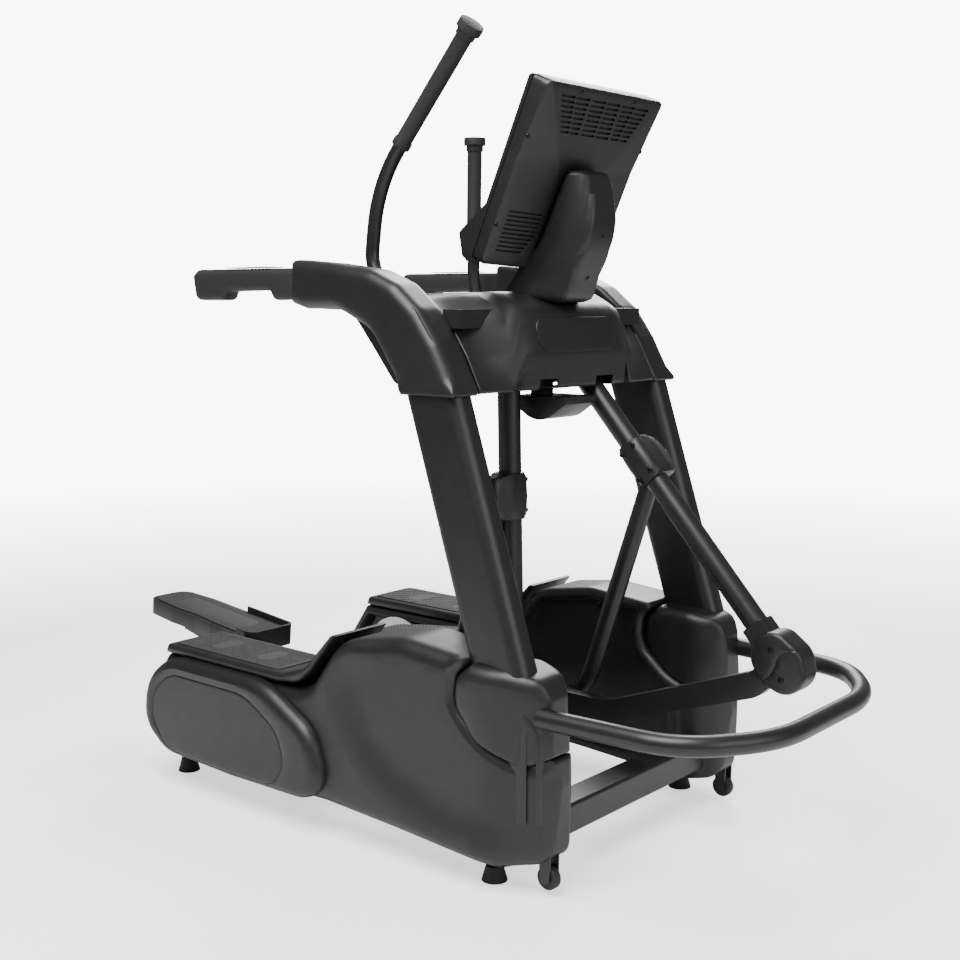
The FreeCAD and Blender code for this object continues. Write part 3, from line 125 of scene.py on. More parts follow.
def finish_material(name, dark, light, rough, grain, depth, metallic=0.0, sheen=0.0, coat=0.0,
                    specular=0.5):
    """Moulded or painted finish: mottled colour, uneven gloss and a fine grain."""
    material, tree, shader, coords = new_material(name)
    cloud = noise(tree, coords, 14)
    tint = spread(tree, cloud, 0, 1)
    tree.links.new(blend_colours(tree, tint, dark, light), shader.inputs["Base Color"])
    smear = noise(tree, coords, 32, detail=6, roughness=0.65)
    tree.links.new(spread(tree, smear, rough[0], rough[1]), shader.inputs["Roughness"])
    fine = noise(tree, coords, grain, detail=2)
    normal = bump(tree, fine, depth)
    tree.links.new(normal, shader.inputs["Normal"])
    shader.inputs["Metallic"].default_value = metallic
    shader.inputs["Sheen Weight"].default_value = sheen
    shader.inputs["Coat Weight"].default_value = coat
    shader.inputs["Specular IOR Level"].default_value = specular
    return material


SHELL = finish_material("moulded_shell", (0.0065,) * 3, (0.0085,) * 3, (0.40, 0.47), 1100, 0.00006)
# Darker copy of the shell plastic: painted shade, used for the seam round the access panel and given to the
# hollow that is cut from the bridge.
SHELL_PAINTED_SHADE = finish_material("moulded_inner_painted_shade", (0.0045,) * 3, (0.006,) * 3, (0.46, 0.54), 1100, 0.00008)
PAINT = finish_material("powder_coat", (0.0070,) * 3, (0.0088,) * 3, (0.36, 0.42), 700, 0.00008)
RUBBER = finish_material("rubber", (0.010,) * 3, (0.013,) * 3, (0.60, 0.70), 1600, 0.00010)
MAT = finish_material("ribbed_mat", (0.013,) * 3, (0.018,) * 3, (0.62, 0.74), 1300, 0.00010)
STEEL = finish_material("bright_steel", (0.42, 0.42, 0.43), (0.50, 0.50, 0.51), (0.22, 0.32), 900,
                        0.00003, metallic=1)
SENSOR = finish_material("sensor_plate", (0.05,) * 3, (0.06,) * 3, (0.24, 0.32), 900, 0.00003,
                         metallic=0.8)
CAST = finish_material("cast_iron", (0.03,) * 3, (0.05,) * 3, (0.45, 0.60), 300, 0.00020, metallic=0.8)
SCREEN = finish_material("screen_glass", (0.002,) * 3, (0.003,) * 3, (0.04, 0.07), 60, 0.000002, coat=0.4)
SCREW = finish_material("screw_black", (0.006,) * 3, (0.010,) * 3, (0.28, 0.36), 900, 0.00004, metallic=0.5)
KEY = finish_material("key_plastic", (0.02,) * 3, (0.03,) * 3, (0.35, 0.42), 1000, 0.00005)

SLOT_FINISH = {
    "frame_paint": PAINT, "shell_plastic": SHELL, "grip_rubber": RUBBER, "mat_rubber": MAT,
    "foot_rubber": RUBBER, "sensor_steel": SENSOR, "shaft_steel": STEEL, "cast_wheel": CAST,
    "screen_black": SCREEN, "screw_black": SCREW, "key_plastic": KEY,
}


def paint_node(name, material):
    """Give a carried-over CAD node its finish."""
    mesh = nodes[name].data
    mesh.materials.clear()
    mesh.materials.append(material)


for entry in frame["record"]["subparts"]:
    paint_node(entry["node"], SLOT_FINISH[entry["material_slot"]])


# ------------------------------------------------------------- mesh making

SIDES = (("left", 1), ("right", -1))


def arc_points(before, corner, after, radius, step):
    """Points along the arc that rounds a corner."""
    first = (before - corner).normalized()
    second = (after - corner).normalized()
    half = first.angle(second) / 2
    reach = min(radius / math.tan(half), 0.48 * min((before - corner).length, (after - corner).length))
    radius = reach * math.tan(half)
    middle = corner + (first + second).normalized() * (radius / math.sin(half))
    start = corner + first * reach - middle
    end = corner + second * reach - middle
    turn = start.angle_signed(end)
    count = max(3, int(abs(turn) * radius / step) + 2)
    made = []
    for i in range(count + 1):
        angle = -turn * i / count
        made.append(middle + Vector((start.x * math.cos(angle) - start.y * math.sin(angle),
                                     start.x * math.sin(angle) + start.y * math.cos(angle))))
    return made


def outline(points, step=0.006):
    """Closed outline in metres; each point is (a, b) or (a, b, corner radius) in millimetres."""
    corners = [Vector((p[0], p[1])) / 1000 for p in points]
    radii = [p[2] / 1000 if len(p) > 2 else 0 for p in points]
    bent = []
    for i, corner in enumerate(corners):
        if radii[i]:
            bent += arc_points(corners[i - 1], corner, corners[(i + 1) % len(corners)], radii[i], step)
        else:
            bent.append(corner)
    made = []
    for i, point in enumerate(bent):
        following = bent[(i + 1) % len(bent)]
        run = (following - point).length
        if run < 1e-6:
            continue
        count = max(1, round(run / step))
        for k in range(count):
            made.append(point.lerp(following, k / count))
    made = np.array([tuple(p) for p in made])
    area = np.sum(made[:, 0] * np.roll(made[:, 1], -1) - np.roll(made[:, 0], -1) * made[:, 1])
    return made if area > 0 else made[::-1]


def trace(points, step=0.006):
    """Open smooth line through points given in millimetres."""
    knots = np.array(points, float) / 1000
    padded = np.vstack([2 * knots[0] - knots[1], knots, 2 * knots[-1] - knots[-2]])
    made = []
    for i in range(1, len(padded) - 2):
        a, b, c, d = padded[i - 1:i + 3]
        count = max(2, int(np.linalg.norm(c - b) / step))
        for t in np.arange(count) / count:
            made.append(0.5 * (2 * b + (c - a) * t + (2 * a - 5 * b + 4 * c - d) * t ** 2
                               + (3 * b - a - 3 * c + d) * t ** 3))
    made.append(knots[-1])
    return np.array(made)


def reach_to(points, line, closed=True):
    """Distance from each point to a line, and the side it lies on (positive on the left)."""
    start = line if closed else line[:-1]
    run = (np.roll(line, -1, 0) if closed else line[1:]) - start
    length = np.maximum((run ** 2).sum(1), 1e-12)
    best = np.full(len(points), 1e9)
    side = np.zeros(len(points))
    for first in range(0, len(points), 2000):
        part = points[first:first + 2000]
        away = part[:, None] - start[None]
        along = np.clip((away * run[None]).sum(2) / length[None], 0, 1)
        gap = away - along[..., None] * run[None]
        far = np.sqrt((gap ** 2).sum(2))
        nearest = far.argmin(1)
        rows = np.arange(len(part))
        best[first:first + 2000] = far[rows, nearest]
        crossed = run[nearest, 0] * away[rows, nearest, 1] - run[nearest, 1] * away[rows, nearest, 0]
        side[first:first + 2000] = np.sign(crossed)
    return best, side


def offset_rows(line, distances, closed):
    """Copies of a line moved to its left by each distance."""
    if closed:
        run = np.roll(line, -1, 0) - np.roll(line, 1, 0)
    else:
        run = np.gradient(line, axis=0)
    normal = np.stack([-run[:, 1], run[:, 0]], 1) / np.maximum(np.linalg.norm(run, axis=1), 1e-9)[:, None]
    return [line + normal * d for d in distances]


def round_edge(distance, radius):
    """Drop of a rounded edge at a distance from the outline."""
    inside = np.clip(1 - distance / radius, 0, 1)
    return radius * (1 - np.sqrt(np.maximum(0, 1 - inside ** 2)))


def ease(value, low, high):
    """Smooth step from 0 at low to 1 at high."""
    t = np.clip((value - low) / (high - low), 0, 1)
    return t * t * (3 - 2 * t)


def triangulate(edge, inner, holes):
    """Triangles that fill an outline, through inner points and round holes."""
    points = [tuple(p) for p in edge]
    edges = [(i, (i + 1) % len(edge)) for i in range(len(edge))]
    for hole in holes:
        first = len(points)
        points += [tuple(p) for p in hole]
        edges += [(first + i, first + (i + 1) % len(hole)) for i in range(len(hole))]
    points += [tuple(p) for p in inner]
    made = delaunay_2d_cdt([Vector(p) for p in points], edges, [], 1, 1e-6)
    return np.array([tuple(p) for p in made[0]]), made[2]


def fill_points(edge, spacing, bands, rows, holes):
    """Points inside an outline: rings near the edge, rows along features, then an even grid."""
    rings = offset_rows(edge, bands, True)
    kept = []
    for band, ring in zip(bands, rings):
        far, side = reach_to(ring, edge)
        kept.append(ring[(far > band * 0.97) & (side > 0)])
    for row in rows:
        far, side = reach_to(row, edge)
        kept.append(row[(far > 0.002) & (side > 0)])
    low, high = edge.min(0), edge.max(0)
    a, b = np.meshgrid(np.arange(low[0], high[0], spacing), np.arange(low[1], high[1], spacing))
    a[1::2] += spacing / 2
    grid = np.stack([a.ravel(), b.ravel()], 1)
    far, side = reach_to(grid, edge)
    grid = grid[(side > 0) & (far > (bands[-1] if len(bands) else 0) + spacing * 0.5)]
    for row in rows:
        grid = grid[reach_to(grid, row, False)[0] > spacing * 0.6]
    kept.append(grid)
    points = np.vstack(kept)
    for hole in holes:
        far, side = reach_to(points, hole)
        points = points[(side < 0) & (far > 0.0015)]
    return points


def make_object(name, points, faces, material, sharp=35):
    """Closed mesh object with smooth shading between gentle angles."""
    mesh = bpy.data.meshes.new(name)
    shape = bmesh.new()
    made = [shape.verts.new(p) for p in points]
    for face in faces:
        if len(set(face)) > 2:
            try:
                shape.faces.new([made[i] for i in face])
            except ValueError:
                pass
    bmesh.ops.remove_doubles(shape, verts=shape.verts, dist=0.00002)
    bmesh.ops.delete(shape, geom=[v for v in shape.verts if not v.link_faces], context="VERTS")
    bmesh.ops.recalc_face_normals(shape, faces=shape.faces)
    for face in shape.faces:
        face.smooth = True
    shape.to_mesh(mesh)
    shape.free()
    mesh.set_sharp_from_angle(angle=math.radians(sharp))
    mesh.materials.append(material)
    piece = bpy.data.objects.new(name, mesh)
    bpy.context.scene.collection.objects.link(piece)
    return piece


def settle(piece, body, slot, *replaced):
    """Put a piece on its body, and hide what it stands for."""
    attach(piece, body)
    if replaced:
        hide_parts(*replaced)
    return piece


def relief(name, material, edge, place, top, bottom, bands=(0.0015, 0.004, 0.008, 0.014, 0.022, 0.032),
           spacing=0.014, rows=(), back_rows=(), holes=(), depth=0.004, walls=4, sharp=35):
    """Solid between two shaped faces that share an outline.

    top and bottom give a face's height from the points and their distance to the outline;
    place turns (a, b, height) into coordinates. Holes are pockets of the given depth in the top.
    """
    points = []
    faces = []

    def add(flat, height):
        first = len(points)
        points.extend(place(p[0], p[1], h) for p, h in zip(flat, height))
        return first

    for side, shape_of, lines, cuts in ((1, top, rows, holes), (-1, bottom, back_rows, ())):
        inner = fill_points(edge, spacing, bands, lines, cuts)
        flat, triangles = triangulate(edge, inner, cuts)
        far, _ = reach_to(flat, edge)
        first = add(flat, shape_of(flat, far))
        centres = np.array([flat[list(t)].mean(0) for t in triangles])
        inside = np.zeros(len(triangles), bool)
        for hole in cuts:
            inside |= reach_to(centres, hole)[1] > 0
        faces.extend(tuple(first + i for i in t) for t, skip in zip(triangles, inside) if not skip)
        for hole in cuts:
            rim_height = shape_of(hole, reach_to(hole, edge)[0])
            rim = add(hole, rim_height)
            floor = add(hole, rim_height - depth)
            count = len(hole)
            faces.extend((rim + i, rim + (i + 1) % count, floor + (i + 1) % count, floor + i)
                         for i in range(count))
            faces.append(tuple(floor + i for i in range(count)))
    zero = np.zeros(len(edge))
    upper = top(edge, zero)
    lower = bottom(edge, zero)
    levels = [add(edge, upper + (lower - upper) * i / walls) for i in range(walls + 1)]
    count = len(edge)
    for a, b in zip(levels[:-1], levels[1:]):
        faces.extend((a + i, a + (i + 1) % count, b + (i + 1) % count, b + i) for i in range(count))
    return make_object(name, points, faces, material, sharp)


def soften(node, width, segments=3, angle=32):
    """Rounded edges on a carried-over CAD node, as a modifier."""
    piece = nodes[node]
    weld = piece.modifiers.new("weld", "WELD")
    weld.merge_threshold = 0.00003
    bevel = piece.modifiers.new("bevel", "BEVEL")
    bevel.width = width
    bevel.segments = segments
    bevel.limit_method = "ANGLE"
    bevel.angle_limit = math.radians(angle)
    bevel.use_clamp_overlap = True
    bevel.miter_outer = "MITER_ARC"


def datum(points):
    """Outline points measured from the datum line, moved to the frame; millimetres."""
    return [(p[0] + DATUM,) + tuple(p[1:]) for p in points]


DATUM = -440.3


# ---------------------------------------------------------------- housings

NOSE_FRONT = DATUM - 118
NOSE_LENGTH = 130
HOUSING_INNER = 255
HOUSING_OUTER = 430


def nose_width(grow):
    """Inner and outer X of a housing along the machine, as arrays over Y in metres."""
    front = NOSE_FRONT
    taper = front + NOSE_LENGTH
    plan = outline([(HOUSING_OUTER, DATUM + 1300), (HOUSING_OUTER, taper, 200),
                    (HOUSING_OUTER - 58, front + 4, 60),
                    (HOUSING_INNER + 40, front - 6, 58), (HOUSING_INNER, taper - 52, 130),
                    (HOUSING_INNER, DATUM + 1300)], 0.003)
    tip = plan[plan[:, 1].argmin()]
    outer = plan[plan[:, 0] >= tip[0]]
    inner = plan[plan[:, 0] <= tip[0]]
    outer = outer[outer[:, 1].argsort()]
    inner = inner[inner[:, 1].argsort()]

    def width(y):
        return (np.interp(y, inner[:, 1], inner[:, 0]) - grow,
                np.interp(y, outer[:, 1], outer[:, 0]) + grow)

    return width


HOUSING_PLAN = nose_width(0)


def housing_place(side, low=HOUSING_INNER / 1000, high=HOUSING_OUTER / 1000, grow=0.0):
    """Placer that squeezes a side-view piece into the housing's plan at the nose."""
    def place(y, z, x):
        inner, outer = HOUSING_PLAN(y)
        share = (x - low) / (high - low)
        return (side * (inner - grow + share * (outer - inner + 2 * grow)), y, z)
    return place


def make_housings():
    """Moulded housings with a creased flank, a lipped collar seam and a recessed inner side."""
    front = -118
    body = outline(datum([(-10, 54, 60), (front + 13, 72, 50), (front, 230, 60), (front + 8, 290, 8),
                          (-60, 264, 50),
                          (30, 300, 120), (106, 365, 60), (98, 430, 40), (64, 462, 12), (250, 478, 160),
                          (420, 450, 120), (520, 321, 80), (700, 320, 30), (1024, 318, 14), (1107, 200, 70),
                          (1096, 105, 60), (985, 57, 40), (470, 76, 60), (250, 68, 200)]))
    seam = trace(datum([(-125, 305), (-90, 272), (-60, 266), (-25, 276), (30, 302), (75, 338), (101, 372),
                        (102, 410),
                        (95, 432), (64, 466)]))
    crease = trace(datum([(400, 462), (436, 425), (459, 356), (441, 270), (374, 174), (270, 112), (143, 72),
                          (35, 62)]))
    lip = offset_rows(seam, (-0.0165, -0.0185, -0.022), False)
    ridge = offset_rows(crease, (-0.012, -0.006, -0.002, 0.0, 0.002, 0.006, 0.012), False)
    floor_line = offset_rows(body, (0.016, 0.019, 0.026, 0.034, 0.040), True)

    def flank(flat, far):
        away, side = reach_to(flat, crease, False)
        behind = np.where(side < 0, away, 0)
        to_seam = reach_to(flat, seam, False)[0]
        lipped = np.clip(1 - to_seam / 0.0175, 0, 1)
        edge = np.where(to_seam < 0.034, ease(to_seam, 0.012, 0.034), 1.0)
        swell = 0.004 * np.sin(np.clip((flat[:, 0] - DATUM / 1000) / 0.45, 0, 1) * math.pi)
        return (0.430 - swell * 0 - round_edge(far, 0.034) * edge - 0.009 * lipped
                - 0.016 * ease(behind, 0.0, 0.11) - round_edge(far, 0.006) * (1 - edge))

    def inner_side(flat, far):
        behind_nose = ease(flat[:, 0], (DATUM - 20) / 1000, (DATUM + 40) / 1000)
        sunk = 0.030 * ease(far, 0.018, 0.036) * behind_nose
        return 0.255 + round_edge(far, 0.018) + sunk

    for name, side in SIDES:
        piece = relief(name + "_housing", SHELL, body, housing_place(side), flank, inner_side,
                       rows=[*lip, *ridge], back_rows=floor_line, walls=10)
        settle(piece, "root", "shell_plastic", name + "_outer_shell", name + "_inner_shell")


def make_collars():
    """Rounded collars round the feet of the uprights."""
    front = -110
    edge = outline(datum([(front, 291, 6), (-60, 265, 50), (30, 301, 120), (105, 366, 60), (97, 429, 40),
                          (60, 458, 14), (-20, 456, 60), (front + 22, 440, 40), (front + 6, 404, 26)]))

    def outer(flat, far):
        low = ease(flat[:, 1], 0.300, 0.380)
        return 0.4245 - round_edge(far, 0.010) * (1 - low) - round_edge(far, 0.030) * low

    def inner(flat, far):
        low = ease(flat[:, 1], 0.300, 0.380)
        return 0.2605 + round_edge(far, 0.008) * (1 - low) + round_edge(far, 0.026) * low

    for name, side in SIDES:
        piece = relief(name + "_collar", SHELL, edge, housing_place(side, grow=-0.004), outer, inner,
                       walls=10)
        settle(piece, "root", "shell_plastic")
    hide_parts("collar_covers")
    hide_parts("collar_covers")


def side_place(side):
    """Placer for a piece drawn in side view, mirrored for the right."""
    return lambda y, z, x: (side * x, y, z)


def make_pair(name, slot, nodes_replaced, build):
    """The left and right pieces that build(side, name) makes, standing for shared CAD nodes."""
    for label, side in SIDES:
        piece = build(side, f"{label}_{name}")
        settle(piece, "root", slot, *nodes_replaced)


def make_ovals():
    """Domed rear covers with a flat inset disc."""
    edge = outline(datum([(445, 130, 90), (500, 78, 120), (760, 72, 300), (1000, 78, 110), (1088, 140, 90),
                          (1072, 255, 120), (985, 322, 160), (640, 324, 200), (480, 240, 120)]))
    disc = outline(datum([(560, 150, 60), (600, 92, 60), (800, 84, 200), (985, 92, 80), (1040, 160, 60),
                          (1030, 235, 80), (965, 284, 100), (690, 284, 160), (585, 222, 80)]))
    rows = offset_rows(disc, (-0.006, -0.0025, -0.001, 0.0, 0.001, 0.0025, 0.006), True)

    def dome(flat, far):
        away, side = reach_to(flat, disc)
        groove = 0.0016 * np.clip(1 - away / 0.0016, 0, 1)
        ring = ease(away, 0.0, 0.02) * (side < 0)
        return 0.4585 - round_edge(far, 0.030) - groove - 0.0022 * (1 - ring) + 0.001 * ring

    def base(flat, far):
        return np.full(len(flat), 0.424)

    make_pair("oval_cover", "shell_plastic", ["oval_covers"],
              lambda side, name: relief(name, SHELL, edge, side_place(side), dome, base, rows=rows,
                                        sharp=28))


def make_step_caps():
    """Covers of the step tops, which sweep up onto the humps."""
    edge = outline(datum([(1022, 321), (1012, 344, 6), (600, 345, 60), (525, 370, 60), (440, 458, 40),
                          (428, 456),
                          (505, 366, 80), (545, 332, 60), (620, 322, 60), (700, 321, 10)]))

    def outer(flat, far):
        return 0.4285 - round_edge(far, 0.011)

    def inner(flat, far):
        return 0.2565 + round_edge(far, 0.008)

    make_pair("step_cap", "shell_plastic", ["step_caps"],
              lambda side, name: relief(name, SHELL, edge, side_place(side), outer, inner,
                                        bands=(0.0015, 0.004, 0.008), walls=8))


def inside(polygon, point):
    """Whether a point lies in a polygon."""
    crossed = False
    for (ax, ay), (bx, by) in zip(polygon, np.roll(polygon, -1, 0)):
        if (ay > point[1]) != (by > point[1]) and point[0] < (bx - ax) * (point[1] - ay) / (by - ay) + ax:
            crossed = not crossed
    return crossed


def rib_runs(polygon, holes, angle, pitch):
    """Parallel runs at an angle that fill a polygon, left out over the holes."""
    along = np.array([math.cos(angle), math.sin(angle)])
    across = np.array([-along[1], along[0]])
    reach = polygon @ across
    runs = []
    for offset in np.arange(reach.min() + pitch / 2, reach.max(), pitch):
        stations = np.arange((polygon @ along).min(), (polygon @ along).max(), 0.002)
        start = None
        last = None
        for t in stations:
            point = along * t + across * offset
            ok = inside(polygon, point) and not any(inside(hole, point) for hole in holes)
            if ok and start is None:
                start = point
            if not ok and start is not None:
                runs.append((start, last))
                start = None
            last = point
        if start is not None:
            runs.append((start, last))
    return [(a, b) for a, b in runs if np.linalg.norm(b - a) > 0.004]


def rib_mesh(name, material, runs, width, height, place):
    """Ribs with a flat top and sloped flanks along straight runs, placed on a surface."""
    points = []
    faces = []
    for a, b in runs:
        along = (b - a) / np.linalg.norm(b - a)
        across = np.array([-along[1], along[0]])
        first = len(points)
        for end, shrink in ((a, 1), (b, -1)):
            for half, lift in ((-0.5, 0.0), (-0.25, 1.0), (0.25, 1.0), (0.5, 0.0)):
                p = end + across * width * half + along * (lift * shrink * height * 0.8)
                points.append(place(p[0], p[1], lift * height - 0.0004 * (1 - lift)))
        f = first
        faces += [(f, f + 1, f + 5, f + 4), (f + 1, f + 2, f + 6, f + 5), (f + 2, f + 3, f + 7, f + 6),
                  (f + 3, f, f + 4, f + 7), (f, f + 3, f + 2, f + 1), (f + 4, f + 5, f + 6, f + 7)]
    mesh = bpy.data.meshes.new(name)
    mesh.from_pydata([tuple(p) for p in points], [], faces)
    shape = bmesh.new()
    shape.from_mesh(mesh)
    bmesh.ops.recalc_face_normals(shape, faces=shape.faces)
    shape.to_mesh(mesh)
    shape.free()
    mesh.materials.append(material)
    piece = bpy.data.objects.new(name, mesh)
    bpy.context.scene.collection.objects.link(piece)
    return piece


def make_step_mats():
    """Rubber step mats with diagonal ribs round two smooth curved patches."""
    for label, side in SIDES:
        middle = side * 342.5
        edge = outline([(middle - 70, DATUM + 622, 18), (middle + 70, DATUM + 622, 18),
                        (middle + 70, DATUM + 1000, 18),
                        (middle - 70, DATUM + 1000, 18)])
        sheet = relief(f"{label}_step_mat", MAT, edge, lambda x, y, z: (x, y, z),
                       lambda flat, far: 0.3478 - round_edge(far,
                                                             0.002), lambda flat, far: np.full(len(flat),
                                                                                               0.3445),
                       bands=(0.001, 0.002), walls=1)
        settle(sheet, "root", "mat_rubber", "step_mats")
        rim = outline([(middle - 64, DATUM + 628, 14), (middle + 64, DATUM + 628, 14),
                       (middle + 64, DATUM + 994, 14),
                       (middle - 64, DATUM + 994, 14)])
        patches = [outline([(middle - 40, DATUM + y, 20), (middle + 40, DATUM + y, 20),
                            (middle + 40, DATUM + y + 46, 20),
                            (middle - 40, DATUM + y + 46, 20)]) for y in (700, 860)]
        ribs = rib_mesh(f"{label}_step_ribs", MAT, rib_runs(rim, patches, math.radians(side * 52), 0.0085)
                        + rib_runs(rim, patches, math.radians(-side * 52), 0.0255), 0.004, 0.0011,
                        lambda x, y, z: (x, y, 0.3478 + z))
        settle(ribs, "root", "mat_rubber")


def make_shoulders():
    """Soft shoulder covers that carry the handrails into the bridge."""
    edge = outline(datum([(104, 980, 6), (160, 1082, 60), (212, 1152, 60), (275, 1202, 60),
                          (345, 1230, 100),
                          (470, 1246, 120), (598, 1256, 10), (602, 1162, 10), (556, 1150, 8), (440, 1150,
                                                                                               120),
                          (345, 1108, 90), (252, 980, 4)]))

    def outer(flat, far):
        top = ease(flat[:, 1], 0.985, 1.02)
        narrow = 0.014 * ease(flat[:, 0], (DATUM + 400) / 1000, (DATUM + 600) / 1000)
        return 0.3995 - narrow - round_edge(far, 0.026) * top - round_edge(far, 0.004) * (1 - top)

    def inner(flat, far):
        return 0.3155 + round_edge(far, 0.010)

    def build(side, name):
        return relief(name, SHELL, edge, side_place(side), outer, inner, walls=8)

    make_pair("shoulder_cover", "shell_plastic", ["shoulder_covers"], build)


def make_handrails():
    """Handrails with full rounded sides and a finger recess underneath."""
    edge = outline(datum([(590, 1170, 10), (590, 1238, 10), (932, 1239, 16), (949, 1226, 12),
                          (938, 1168, 16),
                          (835, 1168, 10), (822, 1188, 10), (680, 1190, 10), (664, 1168, 10)]))

    def outer(flat, far):
        return 0.3755 - round_edge(far, 0.017)

    def inner(flat, far):
        return 0.3245 + round_edge(far, 0.017)

    make_pair("handrail_grip", "grip_rubber", ["handrails"],
              lambda side, name: relief(name, RUBBER, edge, side_place(side), outer, inner,
                                        bands=(0.0012, 0.003, 0.006, 0.010, 0.016), walls=3))


def spin(name, material, profile, place, segments=48, sharp=35):
    """Turned solid; the profile is (distance along the axis, radius) in metres."""
    points = []
    faces = []
    count = len(profile)
    for k in range(segments):
        angle = 2 * math.pi * k / segments
        points += [place(along, radius * math.cos(angle), radius * math.sin(angle)) for along,
                   radius in profile]
    for k in range(segments):
        a = k * count
        b = (k + 1) % segments * count
        faces += [(a + i, a + i + 1, b + i + 1, b + i) for i in range(count - 1)]
    faces.append(tuple(k * count for k in range(segments)))
    faces.append(tuple(k * count + count - 1 for k in range(segments)))
    return make_object(name, points, faces, material, sharp)


for node in nodes:
    nodes[node].data.set_sharp_from_angle(angle=math.radians(32))
make_housings()
make_collars()
make_ovals()
make_step_caps()
make_step_mats()
make_shoulders()
make_handrails()
for node, width in (("left_upright", 0.002), ("right_upright", 0.002), ("centre_hub_cover", 0.006),
                    ("console_bezel", 0.003),
                    ("left_pedal", 0.006), ("right_pedal", 0.006),
                    ("left_foot_bar", 0.004), ("right_foot_bar", 0.004), ("left_grip", 0.002),
                    ("right_grip", 0.002), ("levelling_feet", 0.002), ("left_wheel", 0.004),
                    ("right_wheel", 0.004), ("left_pedal_mat", 0.001), ("right_pedal_mat", 0.001)):
    soften(node, width)

def resample(line, count):
    """Closed line with evenly spaced points, starting nearest its lowest first coordinate."""
    line = np.roll(line, -int(line[:, 0].argmin()), 0)
    closed = np.vstack([line, line[:1]])
    run = np.concatenate([[0], np.cumsum(np.linalg.norm(np.diff(closed, axis=0), axis=1))])
    at = np.linspace(0, run[-1], count, endpoint=False)
    return np.stack([np.interp(at, run, closed[:, k]) for k in range(closed.shape[1])], 1)


def loft(name, material, rings, sharp=35):
    """Closed solid through rings of equal counts, capped at both ends."""
    points = [tuple(p) for ring in rings for p in ring]
    count = len(rings[0])
    faces = []
    for k in range(len(rings) - 1):
        a = k * count
        b = a + count
        faces += [(a + i, a + (i + 1) % count, b + (i + 1) % count, b + i) for i in range(count)]
    faces.append(tuple(range(count)))
    faces.append(tuple((len(rings) - 1) * count + i for i in range(count)))
    return make_object(name, points, faces, material, sharp)


def cut_with(piece, tools):
    """Take closed tool objects away from a piece, then discard them."""
    for tool in tools:
        change = piece.modifiers.new("cut", "BOOLEAN")
        change.operation = "DIFFERENCE"
        change.solver = "EXACT"
        change.object = tool
    graph = bpy.context.evaluated_depsgraph_get()
    made = bpy.data.meshes.new_from_object(piece.evaluated_get(graph))
    piece.modifiers.clear()
    piece.data = made
    piece.data.set_sharp_from_angle(angle=math.radians(35))
    for tool in tools:
        bpy.data.objects.remove(tool)


def box_tool(low, high):
    """Closed box to cut with; corners in metres."""
    xs, ys, zs = zip(low, high)
    points = [(x, y, z) for x in xs for y in ys for z in zs]
    faces = [(0, 1, 3, 2), (4, 6, 7, 5), (0, 4, 5, 1), (2, 3, 7, 6), (0, 2, 6, 4), (1, 5, 7, 3)]
    return make_object("tool", points, faces, SHELL)


def across(side, low, high):
    """X range on one side, in rising order."""
    return (low, high) if side > 0 else (-high, -low)


BRIDGE_MIDDLE = [(104, 982, 6), (94, 1060, 60), (116, 1150, 60), (190, 1187, 60), (460, 1182, 200),
                 (575, 1166, 7),
                 (572, 1148, 7), (480, 1146, 50), (420, 1076, 40), (352, 994, 30), (300, 976, 30), (250,
                                                                                                    982, 10)]
BRIDGE_END = [(108, 982, 6), (146, 1056, 60), (198, 1132, 60), (262, 1178, 60), (460, 1180, 200),
              (575, 1165, 7),
              (572, 1149, 7), (480, 1147, 50), (420, 1078, 40), (352, 996, 30), (300, 978, 30), (250, 983,
                                                                                                 10)]


def bridge_ring(x, thickness):
    """Section of the bridge cover at an X, inset by a wall thickness."""
    share = float(ease(abs(x), 0.150, 0.312))
    mixed = [(a[0] + (b[0] - a[0]) * share, a[1] + (b[1] - a[1]) * share, a[2])
             for a, b in zip(BRIDGE_MIDDLE, BRIDGE_END)]
    line = outline(datum(mixed), 0.005)
    if thickness:
        line = offset_rows(line, (thickness,), True)[0]
    line = resample(line, 220)
    return np.stack([np.full(len(line), x), line[:, 0], line[:, 1]], 1)


